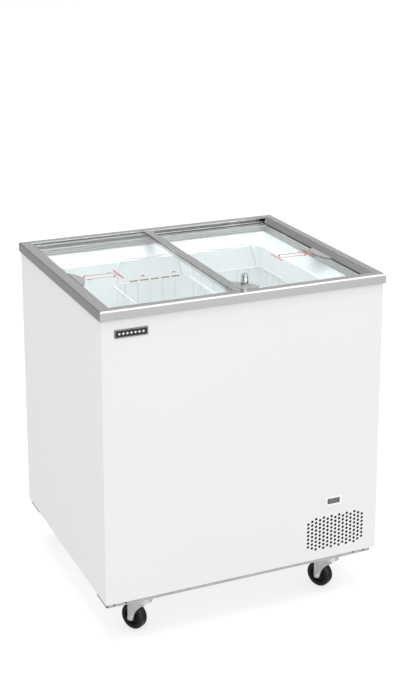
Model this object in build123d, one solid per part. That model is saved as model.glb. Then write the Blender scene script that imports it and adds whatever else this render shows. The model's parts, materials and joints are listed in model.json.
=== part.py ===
"""Sliding-glass ice cream chest on casters: a foam-filled cabinet, a grey top frame with two lids at
two levels, hanging wire baskets, a cooling unit behind the front vent, and four swivel casters.

Millimetres. The origin is on the floor at the middle of the footprint, +X runs to the right along
the front, +Y to the back and +Z up. Each sub-part has its own function and its own STEP file.
"""
import os

from build123d import *

# Driving dimensions ------------------------------------------------------------------------------
FRAME_WIDTH = 720.0
FRAME_DEPTH = 620.0
FRAME_TOP = 822.0
RAIL_HEIGHT = 23.0
SIDE_OVERHANG = 4.0
FRONT_OVERHANG = 6.0
CABINET_BOTTOM = 110.0
SHEET = 1.0

# Top frame: the rails share these levels, measured down from the top, and widths, measured inwards
LIP_THICKNESS = 3.0
SLOT_HEIGHT = 6.0
LEDGE_THICKNESS = 2.5
RAIL_WALL = 3.0
RAIL_ROUNDING = 4.0
LIP_WIDTH = 23.0
LEFT_LIP_WIDTH = 28.0
RIGHT_TOP_WIDTH = 21.0
UPPER_LEDGE_WIDTH = 30.0
RIGHT_SLOPE_WIDTH = 36.0
RAIL_WIDTH = 38.0
SKIRT_DROP = 38.0

# Lids
GLASS = 4.0
GLASS_CLEARANCE = 1.0
GLASS_ENGAGEMENT = 10.0
GLASS_SIDE_ENGAGEMENT = 15.0
CENTRE_PROFILE_WIDTH = 22.0
CENTRE_LINE = -13.0
PROFILE_WEB = 2.0
PROFILE_THIN = 1.5
LID_GAP = 1.0
GRIP_LENGTH = 104.0
GRIP_WIDTH = 21.0
GRIP_CENTRE_Y = -55.0
GRIP_GAP = 0.6
UPPER_GRIP_HEIGHT = 5.0
LOWER_GRIP_HEIGHT = 2.6
LOCK_X = 17.0
LOCK_Y = -248.0
LOCK_SLEEVE_RADIUS = 8.7
LOCK_SLEEVE_HEIGHT = 20.0
LOCK_HEAD_RADIUS = 7.5
LOCK_SHAFT_RADIUS = 6.0
LOCK_PIN_RADIUS = 4.0
LOCK_TRAVEL = 7.0
PLUG_RADIUS = 5.0
LOCK_END_PLAY = 0.3
PLUG_LENGTH = 16.0
PLUG_RECESS = 0.4
KEY_SLOT = (1.6, 6.8, 8.0)
STRIKE_RIGHT = 42.0
STRIKE_BACK = -228.0
STRIKE_PLAY = 2.0
BOSS_Z = (803.0, 811.0)
BRUSH = 1.2
GRIP_EDGE = 2.0
RUNNING = 0.05

# Tank
LINER_HALF_WIDTH = 294.0
LINER_HALF_DEPTH = 236.0
LINER_TOP = 757.0
LINER_FLOOR = 175.0
LINER_CORNER = 18.0
STEP_X = 80.0
STEP_TOP = 396.0
LEDGE = 8.0
BAY_X = 126.0
BAY_TOP = 338.0
DRAIN = (-250.0, -190.0)
DRAIN_RADIUS = 9.0
DRAIN_BORE = 7.0
EVAPORATOR_LEVELS = [430.0 + 50.0 * turn for turn in range(6)]
TUBE = 7.0

# Baskets
BASKET_WIDTH = 214.0
BASKET_HALF_DEPTH = 227.0
BASKET_RIM = 700.0
BASKET_BOTTOM = 470.0
BASKET_LEFT_X = -31.0
BASKET_RIGHT_X = 185.0
BASKET_WALL = 2.0
RIM_WIRE = 2.5
HANDLE_INSET = 28.0
HANDLE_FOOT_INSET = 15.0
HANDLE_STEM = 5.0
HANDLE_TOP = 769.0
DIVIDER_Y = 10.0
DIVIDER_TOP = 716.0
DIVIDER_BOTTOM = 480.0
DIVIDER_THICKNESS = 4.0

# Front of the cabinet
VENT_CENTRE = (241.8, 177.5)
VENT_PITCH_X = 10.63
VENT_PITCH_Z = 10.1
VENT_HOLE_RADIUS = 3.5
VENT_COUNTS = [7, 8, 9, 8, 9, 8, 9, 8, 9, 8, 9, 8, 9, 8, 7]
DISPLAY_CENTRE = (234.6, 259.0)
BEZEL_SIZE = (45.0, 24.0)
BEZEL_THICKNESS = 1.8
DISPLAY_CUTOUT = (39.0, 18.0)
DISPLAY_BODY_DEPTH = 15.0
DISPLAY_SIZE = (34.0, 14.0)
DISPLAY_RECESS = 3.0
BADGE_CENTRE = (-285.5, 764.5)
BADGE_SIZE = (79.0, 19.0)
BADGE_THICKNESS = 1.5

# Back of the cabinet: air slots, and the gland at (x, z) for the mains lead
SLOT_SIZE = (52.0, 5.0)
SLOT_PITCH_X = 60.0
SLOT_PITCH_Z = 14.0
SLOT_ROWS = 12
SLOT_LOWEST = 140.0
GLAND = (338.0, 300.0)
GLAND_BORE = 4.0
GLAND_NECK = 7.0
GLAND_FLANGE = 10.0

# Cooling unit
UNIT_X = 241.0
FAN_Z = 205.0
FAN_RADIUS = 70.0
COMPRESSOR_Y = 120.0
COMPRESSOR_RADIUS = 68.0
CONDENSER_SIZE = (170.0, 44.0, 176.0)
CONDENSER_Y = -284.0
CONDENSER_LIFT = 8.0
FIN_GAPS = 17
FIN_HALF = 0.6
CONDENSER_TUBES = 6
CONDENSER_TUBE_RADIUS = 4.0
CONDENSER_TUBE_PITCH = 28.0
CONDENSER_FIRST_TUBE = 16.0
FAN_Y = -226.0
SHROUD_SHEET = 2.0
SHROUD_MARGIN = 16.0
RING_GAP = 4.0
RING_WALL = 2.0
RING_DEPTH = 14.0
ARM_SHEET = 3.0
ARM_HALF = 8.0
ARM_DEPTH = 26.0
MOTOR_RADIUS = 24.0
MOTOR_LENGTH = 39.0
FAN_SHAFT_RADIUS = 3.0
FAN_SHAFT_REACH = 4.0
HUB_RADIUS = 18.0
HUB_LIMITS = (-6.0, 12.0)
BLADES = 5
BLADE_CHORD = 30.0
BLADE_SHEET = 1.6
BLADE_PITCH = 35.0
GROMMET = 10.0
GROMMET_RADIUS = 10.0
GROMMET_SPACING = (160.0, 96.0)
COMPRESSOR_HEIGHT = 150.0
COMPRESSOR_ROUNDING = 28.0
SEAM_LEVEL = 83.0
SEAM_HEIGHT = 5.0
SEAM_FLANGE = 3.0
MOUNT_PLATE = (184.0, 120.0, 4.0)
MOUNT_PLATE_CORNER = 12.0
MOUNT_HOLE_RADIUS = 5.0
TERMINAL_COVER = (40.0, 56.0, 26.0)
TERMINAL_LEVEL = 50.0
CONTROL_BOX = (64.0, 90.0, 62.0)
CONTROL_BOX_PLACE = (166.0, -105.0)
CONTROL_SOCKET_RADIUS = 6.0
CONTROL_SOCKET_DEPTH = 12.0
DISCHARGE_RADIUS = 3.0
DISCHARGE_BEND = 8.0
DISCHARGE_LEVELS = (110.0, 160.0)
DISCHARGE_SIDE = 19.0
SUCTION_RADIUS = 4.0
SUCTION_BEND = 14.0
SUCTION_LEVEL = 120.0

# Base and casters
CHANNEL_DEPTH = 70.0
CHANNEL_HEIGHT = 12.0
CHANNEL_SHEET = 1.5
CHANNEL_SETBACK = 6.0
CHANNEL_LEFT = -349.0
CHANNEL_RIGHT = 341.0
CASTER_X = 250.0
CASTER_Y = 263.0
CASTER_PLATE = (86.0, 60.0, 2.5)
PLATE_HOLE_X = 62.0
PLATE_HOLE_Y = 40.0
WHEEL_RADIUS = 32.0
WHEEL_WIDTH = 23.0
WHEEL_BOSS_RADIUS = 9.0
WHEEL_BOSS_PROUD = 1.2
WHEEL_WEB_HALF = 4.0
TREAD_INNER = 19.5
TREAD_ROUNDING = 2.5
FORK_GAP = 27.0
FORK_SHEET = 2.2
GUSSET_SHEET = 1.4
CASTER_TRAIL = 26.0
AXLE_RADIUS = 4.0
AXLE_HEAD = 4.0
AXLE_NUT_RADIUS = 6.0
AXLE_END = 6.0
KINGPIN_RADIUS = 5.0
KINGPIN_HEAD = 8.5
RACE_RADIUS = 17.0
RACE_BOTTOM = 90.5
CROWN_TOP = 92.0
CROWN_BOTTOM = 82.0
CROWN_RADIUS = 24.0
DISH_WALL = 4.0
STRAP_HALF = 8.0
STRAP_CORNER = 6.0
GUSSET_END = -17.0
GUSSET_DROP = 6.0
GUSSET_MIDDLE = (6.0, 58.0)
BOLT_RADIUS = 3.0
BOLT_HEAD = 5.5
SLOTTED_HOLE = 10.0
CASTERS = {
    "front_left": (-1, -1, 120.0),
    "front_right": (1, -1, 120.0),
    "rear_left": (-1, 1, 205.0),
    "rear_right": (1, 1, 158.0),
}

# Derived levels and half sizes -------------------------------------------------------------------
HALF_W = FRAME_WIDTH / 2
HALF_D = FRAME_DEPTH / 2
PANEL_W = HALF_W - SIDE_OVERHANG
PANEL_D = HALF_D - FRONT_OVERHANG
RAIL_BOTTOM = FRAME_TOP - RAIL_HEIGHT
LIP_BOTTOM = FRAME_TOP - LIP_THICKNESS
UPPER_LEDGE_TOP = LIP_BOTTOM - SLOT_HEIGHT
UPPER_LEDGE_BOTTOM = UPPER_LEDGE_TOP - LEDGE_THICKNESS
LOWER_LEDGE_TOP = UPPER_LEDGE_BOTTOM - SLOT_HEIGHT
SKIRT_BOTTOM = FRAME_TOP - SKIRT_DROP
UPPER_GLASS_Z = (UPPER_LEDGE_TOP + GLASS_CLEARANCE, UPPER_LEDGE_TOP + GLASS_CLEARANCE + GLASS)
LOWER_GLASS_Z = (LOWER_LEDGE_TOP + GLASS_CLEARANCE, LOWER_LEDGE_TOP + GLASS_CLEARANCE + GLASS)
GLASS_HALF_DEPTH = HALF_D - GLASS_ENGAGEMENT
CENTRE_LEFT = CENTRE_LINE - CENTRE_PROFILE_WIDTH / 2
CENTRE_RIGHT = CENTRE_LINE + CENTRE_PROFILE_WIDTH / 2
SKIRT_INNER_X = HALF_W - RAIL_WIDTH
SKIRT_INNER_Y = HALF_D - RAIL_WIDTH
SKIRT_OUTER_X = SKIRT_INNER_X + RAIL_WALL
SKIRT_OUTER_Y = SKIRT_INNER_Y + RAIL_WALL
CHANNEL_BOTTOM = CABINET_BOTTOM - CHANNEL_HEIGHT
PLATE_BOTTOM = CHANNEL_BOTTOM - CASTER_PLATE[2]
BAY_FLOOR = CABINET_BOTTOM + SHEET
LOCK_TOP = UPPER_GLASS_Z[1] + PROFILE_WEB + LOCK_SLEEVE_HEIGHT + LOCK_TRAVEL + LOCK_END_PLAY


# Small helpers -----------------------------------------------------------------------------------
def block(x, y, z):
    """A box between (low, high) limits on each axis."""
    size = [high - low for low, high in (x, y, z)]
    middle = [(high + low) / 2 for low, high in (x, y, z)]
    return Pos(*middle) * Box(*size)


def rod(start, end, radius):
    """A round bar from one point to another."""
    axis = Vector(*end) - Vector(*start)
    bar = Cylinder(radius, axis.length, align=(Align.CENTER, Align.CENTER, Align.MIN))
    return Plane(origin=start, z_dir=axis) * bar


def upright(x, y, z, radius):
    """A vertical round bar between two levels."""
    return rod((x, y, z[0]), (x, y, z[1]), radius)


def rounded_block(x, y, z, radius):
    """A box whose vertical edges are rounded."""
    outline = RectangleRounded(x[1] - x[0], y[1] - y[0], radius)
    return Pos((x[0] + x[1]) / 2, (y[0] + y[1]) / 2, z[0]) * extrude(outline, z[1] - z[0])


def wire(points, radius):
    """A bent wire: round bars between points with a ball at each bend."""
    body = rod(points[0], points[1], radius)
    for start, end in zip(points[1:], points[2:]):
        body = body + Pos(*start) * Sphere(radius) + rod(start, end, radius)
    return body


def group(pieces):
    """Separate solids kept together in one node."""
    return Compound(children=[solid for piece in pieces for solid in piece.solids()])


# Cabinet -----------------------------------------------------------------------------------------
def vent_holes():
    """Centres of the punched vent holes: staggered columns on the front panel."""
    first = VENT_CENTRE[0] - VENT_PITCH_X * (len(VENT_COUNTS) - 1) / 2
    centres = []
    for column, count in enumerate(VENT_COUNTS):
        lowest = VENT_CENTRE[1] - VENT_PITCH_Z * (count - 1) / 2
        centres += [(first + column * VENT_PITCH_X, lowest + row * VENT_PITCH_Z) for row in range(count)]
    return centres


def front_panel():
    """Painted sheet with the vent and the display cut-out."""
    middle = (CABINET_BOTTOM + RAIL_BOTTOM) / 2
    face = Pos(0, middle) * Rectangle(2 * PANEL_W, RAIL_BOTTOM - CABINET_BOTTOM)
    face -= [Pos(x, z) * Circle(VENT_HOLE_RADIUS) for x, z in vent_holes()]
    face -= Pos(*DISPLAY_CENTRE) * Rectangle(*DISPLAY_CUTOUT)
    front = Plane(origin=(0, -PANEL_D, 0), x_dir=(1, 0, 0), z_dir=(0, -1, 0))
    return extrude(front * face, -SHEET)


def side_panel(side):
    """Painted side sheet between the front and the back panel, side -1 left or 1 right."""
    x = sorted((side * PANEL_W, side * (PANEL_W - SHEET)))
    return block(x, (-PANEL_D + SHEET, PANEL_D - SHEET), (CABINET_BOTTOM, RAIL_BOTTOM))


def back_panel():
    """Back sheet with rows of slots for the warm air and a hole for the cable gland."""
    panel = block((-PANEL_W, PANEL_W), (PANEL_D - SHEET, PANEL_D), (CABINET_BOTTOM, RAIL_BOTTOM))
    slot = extrude(SlotOverall(SLOT_SIZE[0], SLOT_SIZE[1]), 4 * SHEET, both=True)
    slot = Rot(90, 0, 0) * slot
    columns = [UNIT_X - SLOT_PITCH_X, UNIT_X, UNIT_X + SLOT_PITCH_X]
    rows = [SLOT_LOWEST + SLOT_PITCH_Z * row for row in range(SLOT_ROWS)]
    panel -= [Pos(x, PANEL_D, z) * slot for x in columns for z in rows]
    return panel - rod((GLAND[0], PANEL_D - 5, GLAND[1]), (GLAND[0], PANEL_D + 5, GLAND[1]), GLAND_NECK)


def cable_gland():
    """Bush in the back panel where the mains lead leaves; its bore is left free for the lead."""
    def disc(low, high, radius):
        return rod((GLAND[0], PANEL_D + low, GLAND[1]), (GLAND[0], PANEL_D + high, GLAND[1]), radius)

    body = disc(-6, -SHEET, GLAND_FLANGE) + disc(-SHEET, 0, GLAND_NECK) + disc(0, 5, GLAND_FLANGE)
    return body - disc(-7, 6, GLAND_BORE)


def base_panel():
    """Galvanised floor sheet that closes the foam and carries the cooling unit."""
    inside_x = PANEL_W - SHEET
    inside_y = PANEL_D - SHEET
    sheet = block((-inside_x, inside_x), (-inside_y, inside_y), (CABINET_BOTTOM, BAY_FLOOR))
    return sheet - upright(*DRAIN, (0, BAY_FLOOR + 1), DRAIN_RADIUS)


def liner_space(offset, top):
    """The tank's volume, grown by an offset: a deep well on the left and a step over the unit."""
    grown = (LINER_HALF_WIDTH + offset, LINER_HALF_DEPTH + offset)
    corner = LINER_CORNER + offset
    whole = rounded_block((-grown[0], grown[0]), (-grown[1], grown[1]), (LINER_FLOOR - offset, top), corner)
    under_step = block((STEP_X + offset, PANEL_W), (-PANEL_D, PANEL_D), (0, STEP_TOP - offset))
    return whole - under_step


def inner_liner():
    """Thin white tank with a flange round its mouth."""
    flange = block(
        (-SKIRT_OUTER_X, SKIRT_OUTER_X), (-SKIRT_OUTER_Y, SKIRT_OUTER_Y), (LINER_TOP - SHEET, LINER_TOP)
    )
    shell = liner_space(SHEET, LINER_TOP - SHEET) + flange - liner_space(0, LINER_TOP + 1)
    return shell - upright(*DRAIN, (LINER_FLOOR - 5, LINER_FLOOR + 5), DRAIN_RADIUS)


def evaporator_loops():
    """Flat tube loops wound round the outside of the liner."""
    low = (LINER_HALF_WIDTH + SHEET, LINER_HALF_DEPTH + SHEET)
    corner = LINER_CORNER + SHEET
    loops = []
    for level in EVAPORATOR_LEVELS:
        outer = RectangleRounded(2 * (low[0] + TUBE), 2 * (low[1] + TUBE), corner + TUBE)
        ring = outer - RectangleRounded(2 * low[0], 2 * low[1], corner)
        loops.append(Pos(0, 0, level) * extrude(ring, TUBE))
    return loops


def drain_tube():
    """Tube that takes melt water from the tank floor down through the foam and the base."""
    tube = upright(*DRAIN, (CABINET_BOTTOM - 6, LINER_FLOOR - SHEET), DRAIN_RADIUS)
    return tube - upright(*DRAIN, (CABINET_BOTTOM - 7, LINER_FLOOR), DRAIN_BORE)


def drain_plug():
    """Soft plug with a pull tab that stops the drain from inside the tank."""
    x, y = DRAIN
    stem = upright(x, y, (LINER_FLOOR - 20, LINER_FLOOR + 0.4), DRAIN_BORE - RUNNING)
    head = upright(x, y, (LINER_FLOOR + 0.4, LINER_FLOOR + 3.5), DRAIN_RADIUS + 5)
    tab = block((x - 9, x + 9), (y - 1.5, y + 1.5), (LINER_FLOOR + 3.5, LINER_FLOOR + 14))
    return stem + head + fillet(tab.edges().filter_by(Axis.Y).group_by(Axis.Z)[-1], 5)


def foam_slabs():
    """Limits (x, y, z) of the foam's blocks: walls, floor, and the step over the cooling unit."""
    out_x = PANEL_W - SHEET
    out_y = PANEL_D - SHEET
    tank_x = LINER_HALF_WIDTH + SHEET
    tank_y = LINER_HALF_DEPTH + SHEET
    floor = LINER_FLOOR - SHEET
    step = STEP_TOP - SHEET
    riser = STEP_X + SHEET
    slabs = [
        ((-out_x, BAY_X), (-out_y, out_y), (BAY_FLOOR, floor)),
        ((-out_x, -tank_x), (-out_y, out_y), (floor, RAIL_BOTTOM)),
        ((tank_x, out_x), (-out_y, out_y), (BAY_TOP, RAIL_BOTTOM)),
        ((riser, BAY_X), (-tank_y, tank_y), (floor, step)),
        ((BAY_X, tank_x), (-tank_y, tank_y), (BAY_TOP, step)),
    ]
    for y in ((-out_y, -tank_y), (tank_y, out_y)):
        slabs.append(((-tank_x, BAY_X), y, (floor, RAIL_BOTTOM)))
        slabs.append(((BAY_X, tank_x), y, (BAY_TOP, RAIL_BOTTOM)))
    return slabs


def foam_insulation():
    """Foamed-in insulation between the outer sheets and the liner, open round the cooling unit."""
    flange = (LINER_TOP - SHEET, RAIL_BOTTOM)
    gone = block((-SKIRT_OUTER_X, SKIRT_OUTER_X), (-SKIRT_OUTER_Y, SKIRT_OUTER_Y), flange)
    gone = [gone, upright(*DRAIN, (0, LINER_FLOOR), DRAIN_RADIUS), suction_pipe(), *evaporator_loops()]
    blocks = []
    for limits in foam_slabs():
        slab = block(*limits)
        for piece in gone:
            slab -= piece
        blocks.append(slab)
    return group(blocks)


def collar():
    """White moulded collar that slopes from the rails down to the ledge round the tank."""
    outer = block(
        (-SKIRT_OUTER_X, SKIRT_OUTER_X), (-SKIRT_OUTER_Y, SKIRT_OUTER_Y), (LINER_TOP, SKIRT_BOTTOM)
    )
    mouth = RectangleRounded(2 * SKIRT_INNER_X, 2 * SKIRT_INNER_Y, LINER_CORNER)
    throat = RectangleRounded(
        2 * (LINER_HALF_WIDTH + LEDGE), 2 * (LINER_HALF_DEPTH + LEDGE), LINER_CORNER
    )
    slope = loft([Pos(0, 0, LINER_TOP) * throat, Pos(0, 0, SKIRT_BOTTOM) * mouth])
    return outer - slope


def badge():
    """Blank black name plate."""
    x, z = BADGE_CENTRE
    plate = block(
        (x - BADGE_SIZE[0] / 2, x + BADGE_SIZE[0] / 2),
        (-PANEL_D - BADGE_THICKNESS, -PANEL_D),
        (z - BADGE_SIZE[1] / 2, z + BADGE_SIZE[1] / 2),
    )
    return fillet(plate.edges().filter_by(Axis.Y), 1.5)


def display_bezel():
    """Raised white frame round the temperature display, with a body through the front panel."""
    x, z = DISPLAY_CENTRE

    def plate(size, y):
        return block((x - size[0] / 2, x + size[0] / 2), y, (z - size[1] / 2, z + size[1] / 2))

    front = -PANEL_D - BEZEL_THICKNESS
    rim = fillet(plate(BEZEL_SIZE, (front, -PANEL_D)).edges().filter_by(Axis.Y), 2)
    body = plate(DISPLAY_CUTOUT, (-PANEL_D, -PANEL_D + DISPLAY_BODY_DEPTH))
    return rim + body - plate(DISPLAY_SIZE, (front - 1, front + DISPLAY_RECESS))


def display_window():
    """Dark window of the temperature display, set in the bezel."""
    x, z = DISPLAY_CENTRE
    front = -PANEL_D - BEZEL_THICKNESS
    return block(
        (x - DISPLAY_SIZE[0] / 2, x + DISPLAY_SIZE[0] / 2),
        (front + 0.4, front + DISPLAY_RECESS),
        (z - DISPLAY_SIZE[1] / 2, z + DISPLAY_SIZE[1] / 2),
    )


# Top frame ---------------------------------------------------------------------------------------
def rail_outline(points):
    """Closed rail section from its inner points, in (inward, up), with a rounded outer top edge."""
    edge = [Vector(0, RAIL_BOTTOM), Vector(0, FRAME_TOP - RAIL_ROUNDING)]
    round_end = Vector(RAIL_ROUNDING, FRAME_TOP)
    lines = Polyline(edge[0], edge[1])
    lines += RadiusArc(edge[1], round_end, RAIL_ROUNDING)
    lines += Polyline(round_end, *[Vector(*point) for point in points], edge[0])
    return make_face(lines)


def skirt_points():
    """The part every rail shares: the lower ledge's edge, the skirt and the seat on the cabinet."""
    return [
        (RAIL_WIDTH, LOWER_LEDGE_TOP),
        (RAIL_WIDTH, SKIRT_BOTTOM),
        (RAIL_WIDTH - RAIL_WALL, SKIRT_BOTTOM),
        (RAIL_WIDTH - RAIL_WALL, RAIL_BOTTOM),
    ]


def track_section():
    """Front and rear rails: a lip over two glass slots at two levels."""
    points = [
        (LIP_WIDTH, FRAME_TOP),
        (LIP_WIDTH, LIP_BOTTOM),
        (RAIL_WALL, LIP_BOTTOM),
        (RAIL_WALL, UPPER_LEDGE_TOP),
        (UPPER_LEDGE_WIDTH, UPPER_LEDGE_TOP),
        (UPPER_LEDGE_WIDTH, UPPER_LEDGE_BOTTOM),
        (RAIL_WALL, UPPER_LEDGE_BOTTOM),
        (RAIL_WALL, LOWER_LEDGE_TOP),
    ]
    return rail_outline(points + skirt_points())


def left_section():
    """Left rail: the lip that the upper glass slides out from under."""
    points = [
        (LEFT_LIP_WIDTH, FRAME_TOP),
        (LEFT_LIP_WIDTH, LIP_BOTTOM),
        (RAIL_WALL, LIP_BOTTOM),
        (RAIL_WALL, UPPER_LEDGE_TOP),
        (UPPER_LEDGE_WIDTH, UPPER_LEDGE_TOP),
    ]
    return rail_outline(points + skirt_points())


def right_section():
    """Right rail: a flat top that slopes down to the slot of the lower glass."""
    points = [
        (RIGHT_TOP_WIDTH, FRAME_TOP),
        (RIGHT_SLOPE_WIDTH, UPPER_LEDGE_BOTTOM),
        (RAIL_WALL, UPPER_LEDGE_BOTTOM),
        (RAIL_WALL, LOWER_LEDGE_TOP),
    ]
    return rail_outline(points + skirt_points())


def mitre_region(corners):
    """Upright prism that trims a rail at its mitred corners."""
    face = make_face(Polyline(*corners, corners[0]))
    return Pos(0, 0, SKIRT_BOTTOM - 1) * extrude(face, FRAME_TOP - SKIRT_BOTTOM + 2)


def front_rail():
    """Front rail of the top frame."""
    plane = Plane(origin=(-HALF_W, -HALF_D, 0), x_dir=(0, 1, 0), z_dir=(1, 0, 0))
    rail = extrude(plane * track_section(), FRAME_WIDTH)
    inner = HALF_W - HALF_D
    return rail & mitre_region([(-HALF_W, -HALF_D), (HALF_W, -HALF_D), (inner, 0), (-inner, 0)])


def rear_rail():
    """Rear rail of the top frame."""
    plane = Plane(origin=(HALF_W, HALF_D, 0), x_dir=(0, -1, 0), z_dir=(-1, 0, 0))
    rail = extrude(plane * track_section(), FRAME_WIDTH)
    inner = HALF_W - HALF_D
    return rail & mitre_region([(-HALF_W, HALF_D), (-inner, 0), (inner, 0), (HALF_W, HALF_D)])


def left_rail():
    """Left rail of the top frame."""
    plane = Plane(origin=(-HALF_W, HALF_D, 0), x_dir=(1, 0, 0), z_dir=(0, -1, 0))
    rail = extrude(plane * left_section(), FRAME_DEPTH)
    return rail & mitre_region([(-HALF_W, -HALF_D), (HALF_D - HALF_W, 0), (-HALF_W, HALF_D)])


def right_rail():
    """Right rail of the top frame."""
    plane = Plane(origin=(HALF_W, -HALF_D, 0), x_dir=(-1, 0, 0), z_dir=(0, 1, 0))
    rail = extrude(plane * right_section(), FRAME_DEPTH)
    return rail & mitre_region([(HALF_W, -HALF_D), (HALF_W, HALF_D), (HALF_W - HALF_D, 0)])


# Lids --------------------------------------------------------------------------------------------
def upper_lid_glass():
    """Left lid's pane, in the upper slots."""
    left = -HALF_W + GLASS_SIDE_ENGAGEMENT
    right = CENTRE_RIGHT - PROFILE_WEB
    return block((left, right), (-GLASS_HALF_DEPTH, GLASS_HALF_DEPTH), UPPER_GLASS_Z)


def lower_lid_glass():
    """Right lid's pane, in the lower slots, with its front corner cut off for the strike block."""
    left = CENTRE_LEFT + PROFILE_WEB
    right = HALF_W - GLASS_SIDE_ENGAGEMENT
    pane = block((left, right), (-GLASS_HALF_DEPTH, GLASS_HALF_DEPTH), LOWER_GLASS_Z)
    return pane - strike_outline(0, GLASS_HALF_DEPTH + 1)


def strike_outline(gap, front):
    """Upright prism over the lower lid's front left corner, shrunk by a gap from the cut."""
    corners = [
        (CENTRE_LEFT, -front),
        (STRIKE_RIGHT - gap, -front),
        (STRIKE_RIGHT - gap, LOCK_Y - 4),
        (LOCK_X + 4 - gap, STRIKE_BACK - gap),
        (CENTRE_LEFT, STRIKE_BACK - gap),
    ]
    face = make_face(Polyline(*corners, corners[0]))
    return Pos(0, 0, RAIL_BOTTOM) * extrude(face, FRAME_TOP - RAIL_BOTTOM)


def centre_profile(edge, glass_z, over, under, web_x):
    """Channel along a pane's inner edge: a thin plate over and under the glass, joined by a web."""
    low, high = glass_z
    top = block(edge, (-over[0], over[0]), (high, high + over[1]))
    bottom = block(edge, (-under[0], under[0]), (low - under[1], low))
    web = block(web_x, (-under[0], under[0]), (low - under[1], high + over[1]))
    return top + bottom + web


def upper_centre_profile():
    """Grey profile on the upper pane's right edge."""
    lip_edge = HALF_D - LIP_WIDTH - LID_GAP
    ledge_edge = HALF_D - UPPER_LEDGE_WIDTH - LID_GAP
    return centre_profile(
        (CENTRE_LEFT, CENTRE_RIGHT),
        UPPER_GLASS_Z,
        (lip_edge, PROFILE_WEB),
        (ledge_edge, PROFILE_THIN),
        (CENTRE_RIGHT - PROFILE_WEB, CENTRE_RIGHT),
    )


def lower_centre_profile():
    """Grey profile on the lower pane's left edge, cut back at the strike block."""
    ledge_edge = HALF_D - UPPER_LEDGE_WIDTH - LID_GAP
    skirt_edge = HALF_D - RAIL_WIDTH - LID_GAP
    profile = centre_profile(
        (CENTRE_LEFT, CENTRE_RIGHT),
        LOWER_GLASS_Z,
        (ledge_edge, PROFILE_THIN),
        (skirt_edge, PROFILE_WEB),
        (CENTRE_LEFT, CENTRE_LEFT + PROFILE_WEB),
    )
    return profile - strike_outline(0, HALF_D)


def brush_seal():
    """Pile strip under the upper profile that brushes the lower one and keeps the cold in."""
    low = UPPER_GLASS_Z[0] - PROFILE_THIN
    length = HALF_D - RAIL_WIDTH - LID_GAP
    x = (CENTRE_LINE - 4, CENTRE_LINE + 4)
    return block(x, (STRIKE_BACK + 2, length), (low - BRUSH, low))


def grip(flat_x, towards, z):
    """Half-round finger grip: flat along the rail, bulging towards the middle of the pane."""
    half = GRIP_LENGTH / 2
    outline = Polyline((0, -half), (0, half))
    outline += ThreePointArc((0, half), (towards * GRIP_WIDTH, 0), (0, -half))
    body = Pos(flat_x, GRIP_CENTRE_Y, z[0]) * extrude(make_face(outline), z[1] - z[0])
    rim = body.edges().group_by(Axis.Z)[-1].sort_by(Axis.X)[-1 if towards > 0 else 0]
    return fillet(rim, GRIP_EDGE)


def upper_lid_grip():
    """Finger grip at the left edge of the left lid."""
    z = (UPPER_GLASS_Z[1], UPPER_GLASS_Z[1] + UPPER_GRIP_HEIGHT)
    return grip(-HALF_W + LEFT_LIP_WIDTH + GRIP_GAP, 1, z)


def lower_lid_grip():
    """Flat finger grip at the right edge of the right lid."""
    z = (LOWER_GLASS_Z[1], LOWER_GLASS_Z[1] + LOWER_GRIP_HEIGHT)
    return grip(HALF_W - RIGHT_SLOPE_WIDTH - GRIP_GAP, -1, z)


def lower_strike_block():
    """Corner block of the lower lid with the hole that the lock pin drops into."""
    body = strike_outline(0, GLASS_HALF_DEPTH) & block(
        (-HALF_W, HALF_W), (-HALF_D, HALF_D), LOWER_GLASS_Z
    )
    inner = strike_outline(0, HALF_D - RAIL_WIDTH - LID_GAP)
    body += inner & block((-HALF_W, HALF_W), (-HALF_D, HALF_D), (BOSS_Z[0], BOSS_Z[1]))
    return body - upright(LOCK_X, LOCK_Y, (RAIL_BOTTOM, FRAME_TOP), LOCK_PIN_RADIUS + STRIKE_PLAY)


def lock_bracket():
    """Gusset on the front end of the upper profile that carries the lock."""
    front = HALF_D - UPPER_LEDGE_WIDTH - LID_GAP
    corners = [
        (CENTRE_RIGHT, -front),
        (STRIKE_RIGHT, -front),
        (STRIKE_RIGHT, LOCK_Y - 6),
        (LOCK_X + 9, LOCK_Y + 14),
        (CENTRE_RIGHT, STRIKE_BACK + 22),
    ]
    low = UPPER_GLASS_Z[0] - PROFILE_THIN
    high = UPPER_GLASS_Z[1] + PROFILE_WEB
    body = Pos(0, 0, low) * extrude(make_face(Polyline(*corners, corners[0])), high - low)
    body = fillet(body.edges().filter_by(Axis.Z).sort_by(Axis.X)[-3:], 5)
    return body - upright(LOCK_X, LOCK_Y, (low - 1, high + 1), LOCK_PIN_RADIUS + RUNNING)


def lock_sleeve():
    """Chrome sleeve that stands on the bracket and guides the lock barrel."""
    low = UPPER_GLASS_Z[1] + PROFILE_WEB
    high = low + LOCK_SLEEVE_HEIGHT
    body = Cone(LOCK_SLEEVE_RADIUS + 1.2, LOCK_SLEEVE_RADIUS, LOCK_SLEEVE_HEIGHT)
    body = Pos(LOCK_X, LOCK_Y, (low + high) / 2) * body
    body -= upright(LOCK_X, LOCK_Y, (low - 1, high + 1), LOCK_SHAFT_RADIUS + RUNNING)
    return body - upright(LOCK_X, LOCK_Y, (high - LOCK_TRAVEL, high + 1), LOCK_HEAD_RADIUS + RUNNING)


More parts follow.
